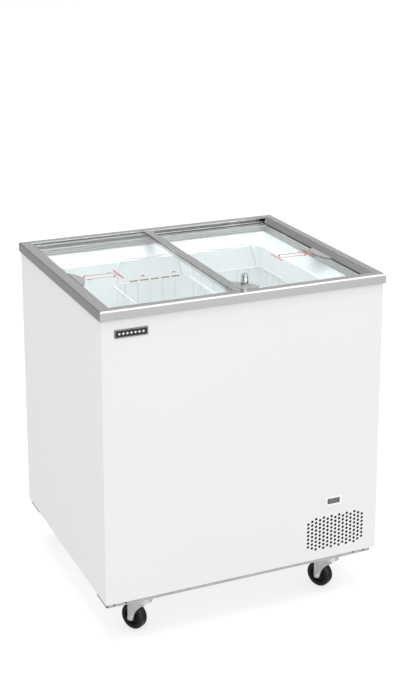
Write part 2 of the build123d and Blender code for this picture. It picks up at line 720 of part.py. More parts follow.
def lock_barrel():
    """Push-in lock barrel with its key slot and the pin that locks the two lids together."""
    bracket_top = UPPER_GLASS_Z[1] + PROFILE_WEB
    shoulder = bracket_top + LOCK_TRAVEL + LOCK_END_PLAY
    head = bracket_top + LOCK_SLEEVE_HEIGHT + LOCK_END_PLAY
    pin_bottom = UPPER_GLASS_Z[0] - PROFILE_THIN
    body = upright(LOCK_X, LOCK_Y, (pin_bottom, shoulder), LOCK_PIN_RADIUS)
    body += upright(LOCK_X, LOCK_Y, (shoulder, head), LOCK_SHAFT_RADIUS)
    body += upright(LOCK_X, LOCK_Y, (head, LOCK_TOP), LOCK_HEAD_RADIUS)
    return body - upright(LOCK_X, LOCK_Y, (LOCK_TOP - PLUG_LENGTH, LOCK_TOP + 1), PLUG_RADIUS + RUNNING)


def lock_key_plug():
    """Plug in the end of the barrel that the key turns, with its key slot."""
    body = upright(LOCK_X, LOCK_Y, (LOCK_TOP - PLUG_LENGTH, LOCK_TOP - PLUG_RECESS), PLUG_RADIUS)
    slot_x = (LOCK_X - KEY_SLOT[0] / 2, LOCK_X + KEY_SLOT[0] / 2)
    slot_y = (LOCK_Y - KEY_SLOT[1] / 2, LOCK_Y + KEY_SLOT[1] / 2)
    return body - block(slot_x, slot_y, (LOCK_TOP - KEY_SLOT[2], LOCK_TOP))


# Baskets -----------------------------------------------------------------------------------------
def basket_handle(x0, x1, side):
    """Wire loop from the basket's rim up over the tank's ledge, dipping where a hand takes it."""
    rim_y = side * BASKET_HALF_DEPTH
    over_y = side * (LINER_HALF_DEPTH + LEDGE / 2)
    rest = LINER_TOP + RIM_WIRE + 0.3
    foot = HANDLE_INSET - HANDLE_FOOT_INSET
    points = [
        (x0 - foot, rim_y, BASKET_RIM),
        (x0 - foot, rim_y, BASKET_RIM + HANDLE_STEM),
        (x0, rim_y, HANDLE_TOP - 8),
        (x0 + 6, over_y - side * 6, HANDLE_TOP - 4),
        (x0 + 42, over_y - side * 6, HANDLE_TOP - 4),
        (x0 + 52, over_y, rest),
        (x1 - 52, over_y, rest),
        (x1 - 42, over_y - side * 6, HANDLE_TOP - 4),
        (x1 - 6, over_y - side * 6, HANDLE_TOP - 4),
        (x1, rim_y, HANDLE_TOP - 8),
        (x1 + foot, rim_y, BASKET_RIM + HANDLE_STEM),
        (x1 + foot, rim_y, BASKET_RIM),
    ]
    return wire(points, RIM_WIRE)


def basket(x):
    """Hanging basket: open tub with a rim wire and a loop handle at the front and the rear."""
    half = BASKET_WIDTH / 2
    outer = ((x - half, x + half), (-BASKET_HALF_DEPTH, BASKET_HALF_DEPTH))
    inner = [(low + BASKET_WALL, high - BASKET_WALL) for low, high in outer]
    tub = rounded_block(*outer, (BASKET_BOTTOM, BASKET_RIM), 14)
    tub -= rounded_block(*inner, (BASKET_BOTTOM + BASKET_WALL, BASKET_RIM + 1), 12)
    rim = rounded_block(*outer, (BASKET_RIM - RIM_WIRE, BASKET_RIM + RIM_WIRE), 14)
    rim -= rounded_block(*inner, (BASKET_RIM - 5, BASKET_RIM + 5), 12)
    body = tub + rim
    for side in (-1, 1):
        body += basket_handle(x - half + HANDLE_INSET, x + half - HANDLE_INSET, side)
    return body


def divider(x):
    """Cross divider that stands in a basket, hung by a bar that rests on both side rims."""
    half = BASKET_WIDTH / 2 - BASKET_WALL - 2
    outline = Pos(0, (DIVIDER_BOTTOM + DIVIDER_TOP) / 2) * RectangleRounded(
        2 * half, DIVIDER_TOP - DIVIDER_BOTTOM, 14
    )
    plane = Plane(origin=(x, DIVIDER_Y, 0), x_dir=(1, 0, 0), z_dir=(0, -1, 0))
    panel = extrude(plane * outline, DIVIDER_THICKNESS / 2, both=True)
    bar_z = BASKET_RIM + RIM_WIRE + 0.3
    y = (DIVIDER_Y - DIVIDER_THICKNESS / 2, DIVIDER_Y + DIVIDER_THICKNESS / 2)
    return panel + block((x - BASKET_WIDTH / 2, x + BASKET_WIDTH / 2), y, (bar_z, bar_z + 4))


# Cooling unit ------------------------------------------------------------------------------------
def condenser():
    """Finned condenser behind the front vent: tubes through upright fins between two end plates."""
    x = (UNIT_X - CONDENSER_SIZE[0] / 2, UNIT_X + CONDENSER_SIZE[0] / 2)
    y = (CONDENSER_Y, CONDENSER_Y + CONDENSER_SIZE[1])
    low = BAY_FLOOR + CONDENSER_LIFT
    middle_y = (y[0] + y[1]) / 2
    body = Part()
    for index in range(FIN_GAPS + 1):
        fin_x = x[0] + (x[1] - x[0]) * index / FIN_GAPS
        bottom = BAY_FLOOR if index in (0, FIN_GAPS) else low
        body += block((fin_x - FIN_HALF, fin_x + FIN_HALF), y, (bottom, low + CONDENSER_SIZE[2]))
    for row in range(CONDENSER_TUBES):
        level = low + CONDENSER_FIRST_TUBE + row * CONDENSER_TUBE_PITCH
        ends = [(end + side * FIN_HALF, middle_y, level) for end, side in zip(x, (-1, 1))]
        body += rod(*ends, CONDENSER_TUBE_RADIUS)
    return body


def fan_axis_rod(low, high, radius):
    """Round bar about the fan's axis between two depths behind the shroud's face."""
    return rod((UNIT_X, FAN_Y + low, FAN_Z), (UNIT_X, FAN_Y + high, FAN_Z), radius)


def fan_shroud():
    """Plate behind the condenser with a round opening for the fan and arms for its motor."""
    half = FAN_RADIUS + SHROUD_MARGIN
    opening = FAN_RADIUS + RING_GAP
    arm_back = RING_DEPTH + ARM_SHEET
    body = block((UNIT_X - half, UNIT_X + half), (FAN_Y - SHROUD_SHEET, FAN_Y), (BAY_FLOOR, FAN_Z + half))
    body += fan_axis_rod(0, RING_DEPTH, opening + RING_WALL)
    body -= fan_axis_rod(-SHROUD_SHEET - 1, RING_DEPTH + 1, opening)
    z = (FAN_Z - ARM_HALF, FAN_Z + ARM_HALF)
    for side in (-1, 1):
        arm_x = sorted((UNIT_X + side * MOTOR_RADIUS, UNIT_X + side * (opening + RING_WALL)))
        body += block(arm_x, (FAN_Y + RING_DEPTH, FAN_Y + arm_back), z)
        leg_x = sorted((UNIT_X + side * MOTOR_RADIUS, UNIT_X + side * (MOTOR_RADIUS + ARM_SHEET)))
        body += block(leg_x, (FAN_Y + RING_DEPTH, FAN_Y + RING_DEPTH + ARM_DEPTH), z)
    return body


def fan_motor():
    """Fan motor between the shroud's arms, with its shaft."""
    front = RING_DEPTH + ARM_SHEET
    body = fan_axis_rod(front, front + MOTOR_LENGTH, MOTOR_RADIUS)
    return body + fan_axis_rod(-FAN_SHAFT_REACH, front + 1, FAN_SHAFT_RADIUS)


def fan_blade():
    """Five-bladed fan that turns on the motor's shaft."""
    root = HUB_RADIUS - 6
    blade = Pos((FAN_RADIUS + root) / 2, 0, 0) * Box(FAN_RADIUS - root, BLADE_CHORD, BLADE_SHEET)
    disc = rod((0, HUB_LIMITS[0], 0), (0, HUB_LIMITS[1], 0), FAN_RADIUS)
    body = fan_axis_rod(*HUB_LIMITS, HUB_RADIUS)
    for index in range(BLADES):
        turned = Rot(0, 360 * index / BLADES, 0) * Rot(BLADE_PITCH, 0, 0) * blade
        body += Pos(UNIT_X, FAN_Y, FAN_Z) * (turned & disc)
    bore = fan_axis_rod(-FAN_SHAFT_REACH - RUNNING, HUB_LIMITS[1] + 1, FAN_SHAFT_RADIUS + RUNNING)
    return body - bore


def compressor():
    """Hermetic compressor shell with its seam, terminal cover and mounting plate."""
    base = BAY_FLOOR + GROMMET
    shell_bottom = base + MOUNT_PLATE[2] - 1
    body = Cylinder(COMPRESSOR_RADIUS, COMPRESSOR_HEIGHT, align=(Align.CENTER, Align.CENTER, Align.MIN))
    body = fillet(body.edges(), COMPRESSOR_ROUNDING)
    body = Pos(UNIT_X, COMPRESSOR_Y, shell_bottom) * body
    seam = (base + SEAM_LEVEL - SEAM_HEIGHT / 2, base + SEAM_LEVEL + SEAM_HEIGHT / 2)
    body += upright(UNIT_X, COMPRESSOR_Y, seam, COMPRESSOR_RADIUS + SEAM_FLANGE)
    body += rounded_block(
        (UNIT_X - MOUNT_PLATE[0] / 2, UNIT_X + MOUNT_PLATE[0] / 2),
        (COMPRESSOR_Y - MOUNT_PLATE[1] / 2, COMPRESSOR_Y + MOUNT_PLATE[1] / 2),
        (base, base + MOUNT_PLATE[2]),
        MOUNT_PLATE_CORNER,
    )
    cover_right = UNIT_X - COMPRESSOR_RADIUS + 16
    body += block(
        (cover_right - TERMINAL_COVER[0], cover_right),
        (COMPRESSOR_Y - TERMINAL_COVER[1] / 2, COMPRESSOR_Y + TERMINAL_COVER[1] / 2),
        (base + TERMINAL_LEVEL, base + TERMINAL_LEVEL + TERMINAL_COVER[2]),
    )
    for x, y in grommet_places():
        body -= upright(x, y, (base - 1, base + MOUNT_PLATE[2] + 1), MOUNT_HOLE_RADIUS)
    return body


def grommet_places():
    """Centres of the four rubber feet under the compressor's plate."""
    half_x, half_y = GROMMET_SPACING[0] / 2, GROMMET_SPACING[1] / 2
    return [(UNIT_X + sx * half_x, COMPRESSOR_Y + sy * half_y) for sx in (-1, 1) for sy in (-1, 1)]


def compressor_grommets():
    """Rubber feet between the base panel and the compressor plate."""
    z = (BAY_FLOOR, BAY_FLOOR + GROMMET)
    return group([upright(x, y, z, GROMMET_RADIUS) for x, y in grommet_places()])


def control_box():
    """Thermostat and terminal box hung under the roof of the unit's bay."""
    x, y = CONTROL_BOX_PLACE
    bottom = BAY_TOP - CONTROL_BOX[2]
    box = rounded_block(
        (x - CONTROL_BOX[0] / 2, x + CONTROL_BOX[0] / 2),
        (y - CONTROL_BOX[1] / 2, y + CONTROL_BOX[1] / 2),
        (bottom, BAY_TOP),
        4,
    )
    return box - upright(x, y, (bottom - 1, bottom + CONTROL_SOCKET_DEPTH), CONTROL_SOCKET_RADIUS)


def refrigerant_pipe(points, radius, bend):
    """Round pipe along straight runs joined by bends."""
    path = FilletPolyline(*points, radius=bend)
    start = Plane(origin=path @ 0, z_dir=path % 0)
    return sweep(start * Circle(radius), path=path)


def discharge_pipe():
    """Pipe from the compressor's shell to the top of the condenser."""
    low, high = [BAY_FLOOR + level for level in DISCHARGE_LEVELS]
    condenser_side = UNIT_X + CONDENSER_SIZE[0] / 2
    side_x = condenser_side + DISCHARGE_SIDE
    near_y = COMPRESSOR_Y - 50
    far_y = CONDENSER_Y + 30
    points = [
        (UNIT_X + 40, near_y, low),
        (side_x, near_y, low),
        (side_x, far_y, high),
        (condenser_side + FIN_HALF, far_y, high),
    ]
    return refrigerant_pipe(points, DISCHARGE_RADIUS, DISCHARGE_BEND)


def suction_pipe():
    """Pipe from the foam above the bay down into the compressor's shell."""
    outside_y = COMPRESSOR_Y + 95
    level = BAY_FLOOR + SUCTION_LEVEL
    points = [
        (UNIT_X - 60, outside_y, BAY_TOP + 6),
        (UNIT_X - 60, outside_y, level),
        (UNIT_X - 30, COMPRESSOR_Y + 40, level),
    ]
    return refrigerant_pipe(points, SUCTION_RADIUS, SUCTION_BEND)


def refrigerant_pipes():
    """Both pipes, trimmed where they are brazed to the compressor."""
    shell = compressor()
    return group([discharge_pipe() - shell, suction_pipe() - shell])


# Base and casters --------------------------------------------------------------------------------
def base_channel(side):
    """Galvanised cross channel under the cabinet, open upwards, side -1 front or 1 rear."""
    outer = PANEL_D - CHANNEL_SETBACK
    y = sorted((side * outer, side * (outer - CHANNEL_DEPTH)))
    body = block((CHANNEL_LEFT, CHANNEL_RIGHT), y, (CHANNEL_BOTTOM, CABINET_BOTTOM))
    body = fillet(body.edges().filter_by(Axis.X).group_by(Axis.Z)[0], 3)
    hollow_y = (y[0] + CHANNEL_SHEET, y[1] - CHANNEL_SHEET)
    hollow_z = (CHANNEL_BOTTOM + CHANNEL_SHEET, CABINET_BOTTOM + 1)
    body -= block((CHANNEL_LEFT - 1, CHANNEL_RIGHT + 1), hollow_y, hollow_z)
    for x, y_hole in plate_holes():
        if side * y_hole > 0:
            body -= upright(x, y_hole, (CHANNEL_BOTTOM - 1, CHANNEL_BOTTOM + 5), BOLT_RADIUS + 0.25)
    return body


def channel_end_caps():
    """Dark plugs that close both ends of both cross channels."""
    caps = []
    outer = PANEL_D - CHANNEL_SETBACK - CHANNEL_SHEET
    inner = PANEL_D - CHANNEL_SETBACK - CHANNEL_DEPTH + CHANNEL_SHEET
    z = (CHANNEL_BOTTOM + CHANNEL_SHEET, CABINET_BOTTOM)
    for side in (-1, 1):
        y = sorted((side * inner, side * outer))
        caps.append(block((CHANNEL_LEFT - 3, CHANNEL_LEFT + 6), y, z))
        caps.append(block((CHANNEL_RIGHT - 6, CHANNEL_RIGHT + 3), y, z))
    return group(caps)


def caster_centre(name):
    """Where a caster's swivel axis meets the floor."""
    side_x, side_y, _ = CASTERS[name]
    return side_x * CASTER_X, side_y * CASTER_Y


def plate_holes():
    """Centres of all the bolts through the caster plates."""
    holes = []
    for name in CASTERS:
        x, y = caster_centre(name)
        holes += [
            (x + sx * PLATE_HOLE_X / 2, y + sy * PLATE_HOLE_Y / 2) for sx in (-1, 1) for sy in (-1, 1)
        ]
    return holes


def caster_bolts():
    """Bolts that hold the caster plates to the channels, heads below."""
    bolts = []
    for x, y in plate_holes():
        head = Pos(x, y, PLATE_BOTTOM - 4) * extrude(RegularPolygon(BOLT_HEAD, 6), 4)
        bolts.append(head + upright(x, y, (PLATE_BOTTOM - 1, CHANNEL_BOTTOM + 9), BOLT_RADIUS))
    return group(bolts)


def caster_plate():
    """Top plate with four slotted holes, lower race and riveted kingpin, about its swivel axis."""
    width, depth, thickness = CASTER_PLATE
    plate = rounded_block(
        (-width / 2, width / 2), (-depth / 2, depth / 2), (PLATE_BOTTOM, PLATE_BOTTOM + thickness), 6
    )
    slot = extrude(SlotOverall(SLOTTED_HOLE, 2 * BOLT_RADIUS + 0.5), 2 * thickness, both=True)
    for x in (-PLATE_HOLE_X / 2, PLATE_HOLE_X / 2):
        for y in (-PLATE_HOLE_Y / 2, PLATE_HOLE_Y / 2):
            plate -= Pos(x, y, PLATE_BOTTOM) * slot
    race = upright(0, 0, (RACE_BOTTOM, PLATE_BOTTOM), RACE_RADIUS)
    pin = upright(0, 0, (CROWN_BOTTOM - 2.3, PLATE_BOTTOM), KINGPIN_RADIUS)
    head = upright(0, 0, (CROWN_BOTTOM - 4.5, CROWN_BOTTOM - 0.3), KINGPIN_HEAD)
    return plate + race + pin + head


def caster_plates():
    """The four top plates, square to the cabinet."""
    return group([Pos(*caster_centre(name), 0) * caster_plate() for name in CASTERS])


def fork_leg():
    """One leg in (trail, up): outlines of the strap down to the axle and of the gusset beside it."""
    top = CROWN_BOTTOM + FORK_SHEET
    front = CASTER_TRAIL + STRAP_HALF
    back = CASTER_TRAIL - STRAP_HALF
    edge = Polyline((back, top), (back, WHEEL_RADIUS))
    lowest = (CASTER_TRAIL, WHEEL_RADIUS - STRAP_HALF)
    edge += ThreePointArc((back, WHEEL_RADIUS), lowest, (front, WHEEL_RADIUS))
    edge += Polyline((front, WHEEL_RADIUS), (front, top - STRAP_CORNER))
    edge += RadiusArc((front, top - STRAP_CORNER), (front - STRAP_CORNER, top), -STRAP_CORNER)
    edge += Polyline((front - STRAP_CORNER, top), (back, top))
    gusset_foot = (back, WHEEL_RADIUS)
    gusset_tip = (GUSSET_END, CROWN_BOTTOM - GUSSET_DROP)
    side = ThreePointArc(gusset_foot, GUSSET_MIDDLE, gusset_tip)
    side += Polyline(gusset_tip, (GUSSET_END, top), (back, top), gusset_foot)
    return make_face(edge), make_face(side)


def caster_fork():
    """Pressed fork: dished crown round the kingpin and two legs, each a strap with a gusset."""
    top = CROWN_BOTTOM + FORK_SHEET
    dish = upright(0, 0, (CROWN_BOTTOM, CROWN_TOP), CROWN_RADIUS)
    dish -= upright(0, 0, (top, CROWN_TOP + 1), CROWN_RADIUS - DISH_WALL)
    body = dish + block((GUSSET_END, CASTER_TRAIL), (-FORK_GAP / 2, FORK_GAP / 2), (CROWN_BOTTOM, top))
    strap, gusset = fork_leg()
    plane = Plane(origin=(0, 0, 0), x_dir=(1, 0, 0), z_dir=(0, -1, 0))
    for side in (-1, 1):
        for outline, sheet in ((strap, FORK_SHEET), (gusset, GUSSET_SHEET)):
            leg = extrude(plane * outline, -side * sheet)
            body += Pos(0, side * FORK_GAP / 2, 0) * leg
    body -= upright(0, 0, (CROWN_BOTTOM - 1, CROWN_TOP + 1), KINGPIN_RADIUS + RUNNING)
    ends = [(CASTER_TRAIL, y, WHEEL_RADIUS) for y in (-FORK_GAP, FORK_GAP)]
    return body - rod(*ends, AXLE_RADIUS)


def caster_axle():
    """Axle bolt through the fork, with its head and nut."""
    outside = FORK_GAP / 2 + FORK_SHEET
    start = (CASTER_TRAIL, -outside, WHEEL_RADIUS)
    body = rod(start, (CASTER_TRAIL, outside + AXLE_END, WHEEL_RADIUS), AXLE_RADIUS)
    across = Plane(origin=(CASTER_TRAIL, 0, WHEEL_RADIUS), x_dir=(1, 0, 0), z_dir=(0, 1, 0))
    hexagon = across * RegularPolygon(AXLE_NUT_RADIUS, 6)
    body += Pos(0, -outside - AXLE_HEAD, 0) * extrude(hexagon, AXLE_HEAD)
    return body + Pos(0, outside, 0) * extrude(hexagon, AXLE_HEAD)


def caster_wheel():
    """Black moulded wheel: a long boss, a thin web and a thick tread with rounded shoulders."""
    half = WHEEL_WIDTH / 2
    boss = half + WHEEL_BOSS_PROUD
    bore = AXLE_RADIUS + RUNNING
    side = [
        (bore, boss),
        (WHEEL_BOSS_RADIUS, boss),
        (WHEEL_BOSS_RADIUS + 0.5, WHEEL_WEB_HALF),
        (TREAD_INNER, WHEEL_WEB_HALF),
        (TREAD_INNER + 1.5, half - 1.0),
        (TREAD_INNER + 7.0, half),
        (WHEEL_RADIUS - TREAD_ROUNDING, half - 0.8),
        (WHEEL_RADIUS - 0.6, half - 1.2 * TREAD_ROUNDING),
        (WHEEL_RADIUS, half - 2.6 * TREAD_ROUNDING),
    ]
    points = side + [(radius, -width) for radius, width in reversed(side)]
    section = make_face(Polyline(*points, points[0]))
    turned = revolve(Plane.XZ * section, Axis.Z)
    return Pos(CASTER_TRAIL, 0, WHEEL_RADIUS) * (Rot(90, 0, 0) * turned)


def placed_casters():
    """Every caster's pieces, turned to its own heading."""
    makers = {"fork": caster_fork, "axle": caster_axle, "wheel": caster_wheel}
    pieces = {}
    for name, (_, _, heading) in CASTERS.items():
        x, y = caster_centre(name)
        for part, make in makers.items():
            pieces[f"caster_{part}_{name}"] = Pos(x, y, 0) * Rot(0, 0, heading) * make()
    return pieces


# All nodes ---------------------------------------------------------------------------------------
def all_nodes():
    """Node name to shape, in the order the cabinet is put together."""
    nodes = {
        "front_panel": front_panel(),
        "left_side_panel": side_panel(-1),
        "right_side_panel": side_panel(1),
        "back_panel": back_panel(),
        "cable_gland": cable_gland(),
        "base_panel": base_panel(),
        "inner_liner": inner_liner(),
        "evaporator_loops": group(evaporator_loops()),
        "foam_insulation": foam_insulation(),
        "collar": collar(),
        "drain_tube": drain_tube(),
        "drain_plug": drain_plug(),
        "badge_plate": badge(),
        "display_bezel": display_bezel(),
        "display_window": display_window(),
        "front_rail": front_rail(),
        "rear_rail": rear_rail(),
        "left_rail": left_rail(),
        "right_rail": right_rail(),
        "upper_lid_glass": upper_lid_glass(),
        "upper_centre_profile": upper_centre_profile(),
        "brush_seal": brush_seal(),
        "upper_lid_grip": upper_lid_grip(),
        "lock_bracket": lock_bracket(),
        "lock_sleeve": lock_sleeve(),
        "lock_barrel": lock_barrel(),
        "lock_key_plug": lock_key_plug(),
        "lower_lid_glass": lower_lid_glass(),
        "lower_centre_profile": lower_centre_profile(),
        "lower_lid_grip": lower_lid_grip(),
        "lower_strike_block": lower_strike_block(),
        "basket_left": basket(BASKET_LEFT_X),
        "basket_right": basket(BASKET_RIGHT_X),
        "divider_left": divider(BASKET_LEFT_X),
        "divider_right": divider(BASKET_RIGHT_X),
        "condenser": condenser(),
        "fan_shroud": fan_shroud(),
        "fan_motor": fan_motor(),
        "fan_blade": fan_blade(),
        "compressor": compressor(),
        "compressor_grommets": compressor_grommets(),
        "control_box": control_box(),
        "refrigerant_pipes": refrigerant_pipes(),
        "base_channel_front": base_channel(-1),
        "base_channel_rear": base_channel(1),
        "channel_end_caps": channel_end_caps(),
        "caster_bolts": caster_bolts(),
        "caster_plates": caster_plates(),
    }
    nodes.update(placed_casters())
    return nodes


os.makedirs("parts", exist_ok=True)
for node, shape in all_nodes().items():
    export_step(shape, f"parts/{node}.step")
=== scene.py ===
# %% [markdown]
# # A sliding-glass ice cream chest
# The cabinet is a foamed steel box on four casters. A grey metal frame on top carries two glass
# lids at two levels, and wire baskets hang inside the white tank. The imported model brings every
# part that moves, fits or carries load. This lesson gives those parts their finishes and adds
# what wire, print and small fasteners need.

# %% Load the fixed frame
import json
from math import cos, pi, radians, sin

import bmesh
import bpy
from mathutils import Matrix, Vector


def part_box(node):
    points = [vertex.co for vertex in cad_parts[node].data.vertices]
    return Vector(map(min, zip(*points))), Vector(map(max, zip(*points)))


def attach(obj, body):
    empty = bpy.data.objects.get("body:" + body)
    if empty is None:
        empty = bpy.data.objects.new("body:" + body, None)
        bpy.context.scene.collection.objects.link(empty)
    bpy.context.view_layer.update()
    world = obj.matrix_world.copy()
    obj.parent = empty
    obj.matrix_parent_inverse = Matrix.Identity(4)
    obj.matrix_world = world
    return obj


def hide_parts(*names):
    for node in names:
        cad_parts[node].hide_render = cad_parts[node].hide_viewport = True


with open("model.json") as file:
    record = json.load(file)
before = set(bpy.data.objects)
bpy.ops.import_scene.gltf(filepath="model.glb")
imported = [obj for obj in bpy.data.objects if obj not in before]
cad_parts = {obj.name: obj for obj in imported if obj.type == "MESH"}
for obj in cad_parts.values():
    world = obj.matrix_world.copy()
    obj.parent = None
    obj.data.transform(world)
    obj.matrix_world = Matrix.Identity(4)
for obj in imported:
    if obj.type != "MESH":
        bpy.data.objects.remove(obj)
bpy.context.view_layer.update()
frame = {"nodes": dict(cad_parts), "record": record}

# %% [markdown]
# ## The camera
# A chest like this is shown from the front left and from above, with a long lens so that its
# sides stay nearly upright. Tilting a camera down makes uprights lean; sliding the sensor down
# instead keeps them straight, so most of the downward look is a tilt and the rest is shift.

# %% Place the camera
CAMERA_PLACE = Vector((-1.2989, -3.0016, 1.7724))
CAMERA_TURN = radians(23.648)
CAMERA_TILT = radians(13.982)
camera = bpy.data.cameras.new("studio_camera")
camera.lens = 72.93
camera.sensor_width = 36.0
camera.shift_y = -0.2
camera_stand = bpy.data.objects.new("studio_camera", camera)
camera_stand.location = CAMERA_PLACE
camera_stand.rotation_euler = (pi / 2 - CAMERA_TILT, 0.0, -CAMERA_TURN)
bpy.context.scene.collection.objects.link(camera_stand)
bpy.context.scene.camera = camera_stand
print("camera stands", round(CAMERA_PLACE.length, 2), "m from the middle of the floor")

# %% [markdown]
# ## Shader maths
# A finish is a small sum: a colour, a little noise, a mask. Node trees hide such sums, so this
# class wraps the output of a node and lets Python write them. Adding two outputs adds a Math
# node, a plain number may stand on either side, and every other node comes from `node`.

# %% Wrap a socket
class Signal:
    """The output of a node, with the operators that a finish needs."""

    def __init__(self, tree, socket=None):
        self.tree = tree
        self.socket = socket

    def node(self, kind, settings=None, inputs=None, output=0):
        """A new node: its settings first, then the values or links of its sockets, by name or number."""
        made = self.tree.nodes.new("ShaderNode" + kind)
        for name, value in (settings or {}).items():
            if name == "stops":
                fill_ramp(made.color_ramp, value)
            else:
                setattr(made, name, value)
        for name, value in (inputs or {}).items():
            if isinstance(value, Signal):
                self.tree.links.new(value.socket, made.inputs[name])
            else:
                made.inputs[name].default_value = value
        return Signal(self.tree, made.outputs[output])

    def maths(self, operation, first, second):
        return self.node("Math", {"operation": operation}, {0: first, 1: second})

    def __add__(self, other):
        return self.maths("ADD", self, other)

    def __sub__(self, other):
        return self.maths("SUBTRACT", self, other)

    def __rsub__(self, other):
        return self.maths("SUBTRACT", other, self)

    def __mul__(self, other):
        return self.maths("MULTIPLY", self, other)

    __radd__ = __add__
    __rmul__ = __mul__


def fill_ramp(ramp, stops):
    """Gives a colour ramp its stops: (place, grey) pairs."""
    while len(ramp.elements) < len(stops):
        ramp.elements.new(1.0)
    for element, (place, grey) in zip(ramp.elements, stops):
        element.position = place
        element.color = (grey, grey, grey, 1.0)


print("signals add, subtract and multiply")

# %% [markdown]
# Most finishes end in the same shader, so one function starts a material and another closes it.
# Patterns are laid in object space, in metres: every part sits at the origin of one shared frame,
# so a grain of 0.5 mm is a scale of 2000 on any of them, and nothing needs unwrapping.

# %% Start and finish a material
def start_finish(name):
    """A new material's empty node tree."""
    material = bpy.data.materials.new(name)
    material.use_nodes = True
    material.node_tree.nodes.clear()
    return material, Signal(material.node_tree)


def close_finish(mix, surface):
    """Joins a shader to the material's output."""
    output = mix.tree.nodes.new("ShaderNodeOutputMaterial")
    mix.tree.links.new(surface.socket, output.inputs["Surface"])


def in_place(mix, stretch=(1.0, 1.0, 1.0)):
    """Object coordinates, stretched along each axis."""
    place = mix.node("TexCoord", output="Object")
    return mix.node("VectorMath", {"operation": "MULTIPLY"}, {0: place, 1: stretch})


def noise(mix, scale, detail=3.0, stretch=(1.0, 1.0, 1.0)):
    """Smooth noise between 0 and 1."""
    sockets = {"Vector": in_place(mix, stretch), "Scale": scale, "Detail": detail}
    return mix.node("TexNoise", {}, sockets)


def tint(mix, factor, dark, light):
    """A colour between two, by a factor."""
    ends = {0: factor, 6: (*dark, 1.0), 7: (*light, 1.0)}
    return mix.node("Mix", {"data_type": "RGBA"}, ends, output=2)


def raised(mix, height, strength, distance=0.001):
    """A normal that makes a height look raised."""
    return mix.node("Bump", {}, {"Height": height, "Strength": strength, "Distance": distance})


print("finishes are laid in metres")

# %% [markdown]
# ## Painted steel
# The outer sheets are powder-coated white. The coat flows out in the oven but keeps a fine orange
# peel that only shows as a soft wobble in its shine, so it is a low bump plus a small change in
# roughness. Its colour barely changes: two nearly equal whites in large soft patches.

# %% White powder coat
PEEL_SCALE = 260.0


def powder_coat():
    material, mix = start_finish("white_powder_coat")
    peel = noise(mix, PEEL_SCALE, 2.0)
    patches = noise(mix, 3.0, 2.0)
    surface = mix.node("BsdfPrincipled", {}, {
        "Base Color": tint(mix, patches, (0.755, 0.757, 0.757), (0.77, 0.77, 0.77)),
        "Roughness": 0.34 + peel * 0.08,
        "Normal": raised(mix, peel, 0.06),
    })
    close_finish(mix, surface)
    return material


print("powder coat peel is about", round(1000 / PEEL_SCALE, 1), "mm across")

# %% [markdown]
# ## The frame's drawn metal
# The top frame is extruded aluminium with a satin anodised skin. Extruding leaves fine lines along
# each rail. Noise stretched along one axis draws them, so rails that run the other way take their
# own copy of the finish.

# %% Drawn rails
LINES_ACROSS = 420.0
LINES_ALONG = 3.0


def drawn_metal(name, along, grey, roughness):
    """Satin metal with die lines along axis 0 or 1."""
    material, mix = start_finish(name)
    stretch = [LINES_ACROSS] * 3
    stretch[along] = LINES_ALONG
    lines = noise(mix, 1.0, 4.0, stretch)
    cloud = noise(mix, 14.0, 2.0)
    dark = [grey * 0.975] * 3
    light = [grey * 1.02, grey * 1.025, grey * 1.025]
    surface = mix.node("BsdfPrincipled", {}, {
        "Base Color": tint(mix, lines, dark, light),
        "Metallic": 1.0,
        "Roughness": roughness + lines * 0.05 + cloud * 0.04,
        "Normal": raised(mix, lines, 0.03, 0.0004),
    })
    close_finish(mix, surface)
    return material


print("rails are drawn along X or along Y")

# %% [markdown]
# ## Galvanised and zinc-plated steel
# Hot-dip zinc freezes into leaf-like spangles, each turned its own way. Voronoi cells give each
# leaf one grey. Plated bolts have no leaves, only a fine pale haze, so they use the same function
# with smaller, fainter cells. Old zinc is dull and half chalky, so it is only part metallic.

# %% Zinc
SHEET_SPANGLE = 0.012
BOLT_SPANGLE = 0.002


def zinc(name, cell, dark, light, roughness, metallic):
    """Zinc skin with spangles of about `cell` metres."""
    material, mix = start_finish(name)
    cells = {"Vector": in_place(mix), "Scale": 1.0 / cell}
    leaf = mix.node("TexVoronoi", {"feature": "F1"}, cells, output="Color")
    grey = mix.node("RGBToBW", {}, {"Color": leaf})
    haze = noise(mix, 60.0, 4.0)
    surface = mix.node("BsdfPrincipled", {}, {
        "Base Color": tint(mix, grey * 0.7 + haze * 0.3, dark, light),
        "Metallic": metallic,
        "Roughness": roughness + grey * 0.12,
        "Normal": raised(mix, haze, 0.05),
    })
    close_finish(mix, surface)
    return material


print("spangles are", SHEET_SPANGLE * 1000, "mm on sheet and", BOLT_SPANGLE * 1000, "mm on bolts")

# %% [markdown]
# ## Plastics and rubber
# Moulded parts differ in colour, shine and texture, but each is a solid colour with a spark-eroded
# grain. One function makes them all: the grain is fine noise in the bump, and a slow noise keeps
# the shine from being even.

# %% Moulded parts
GRAIN_SCALE = 900.0


def moulded(name, colour, roughness, grain=GRAIN_SCALE, depth=0.15, shade=0.9):
    """A moulded or enamelled part: `grain` lines per metre, and darkest patches of `shade`."""
    material, mix = start_finish(name)
    fine = noise(mix, grain, 2.0)
    slow = noise(mix, 22.0, 3.0)
    darker = [value * shade for value in colour]
    surface = mix.node("BsdfPrincipled", {}, {
        "Base Color": tint(mix, slow, darker, colour),
        "Roughness": roughness + slow * 0.08,
        "Normal": raised(mix, fine, depth, 0.0003),
    })
    close_finish(mix, surface)
    return material


print("moulded grain is about", round(1000 / GRAIN_SCALE, 1), "mm")

# %% [markdown]
# ## Glass
# The lids are 4 mm tempered panes. A closed glass would keep lamp light out of the tank, because
# light that bends is slow to find. The pane therefore bends and mirrors what the eye sees, and is
# simply clear to the rays that look for lamps, which is what a thin flat pane is to light.

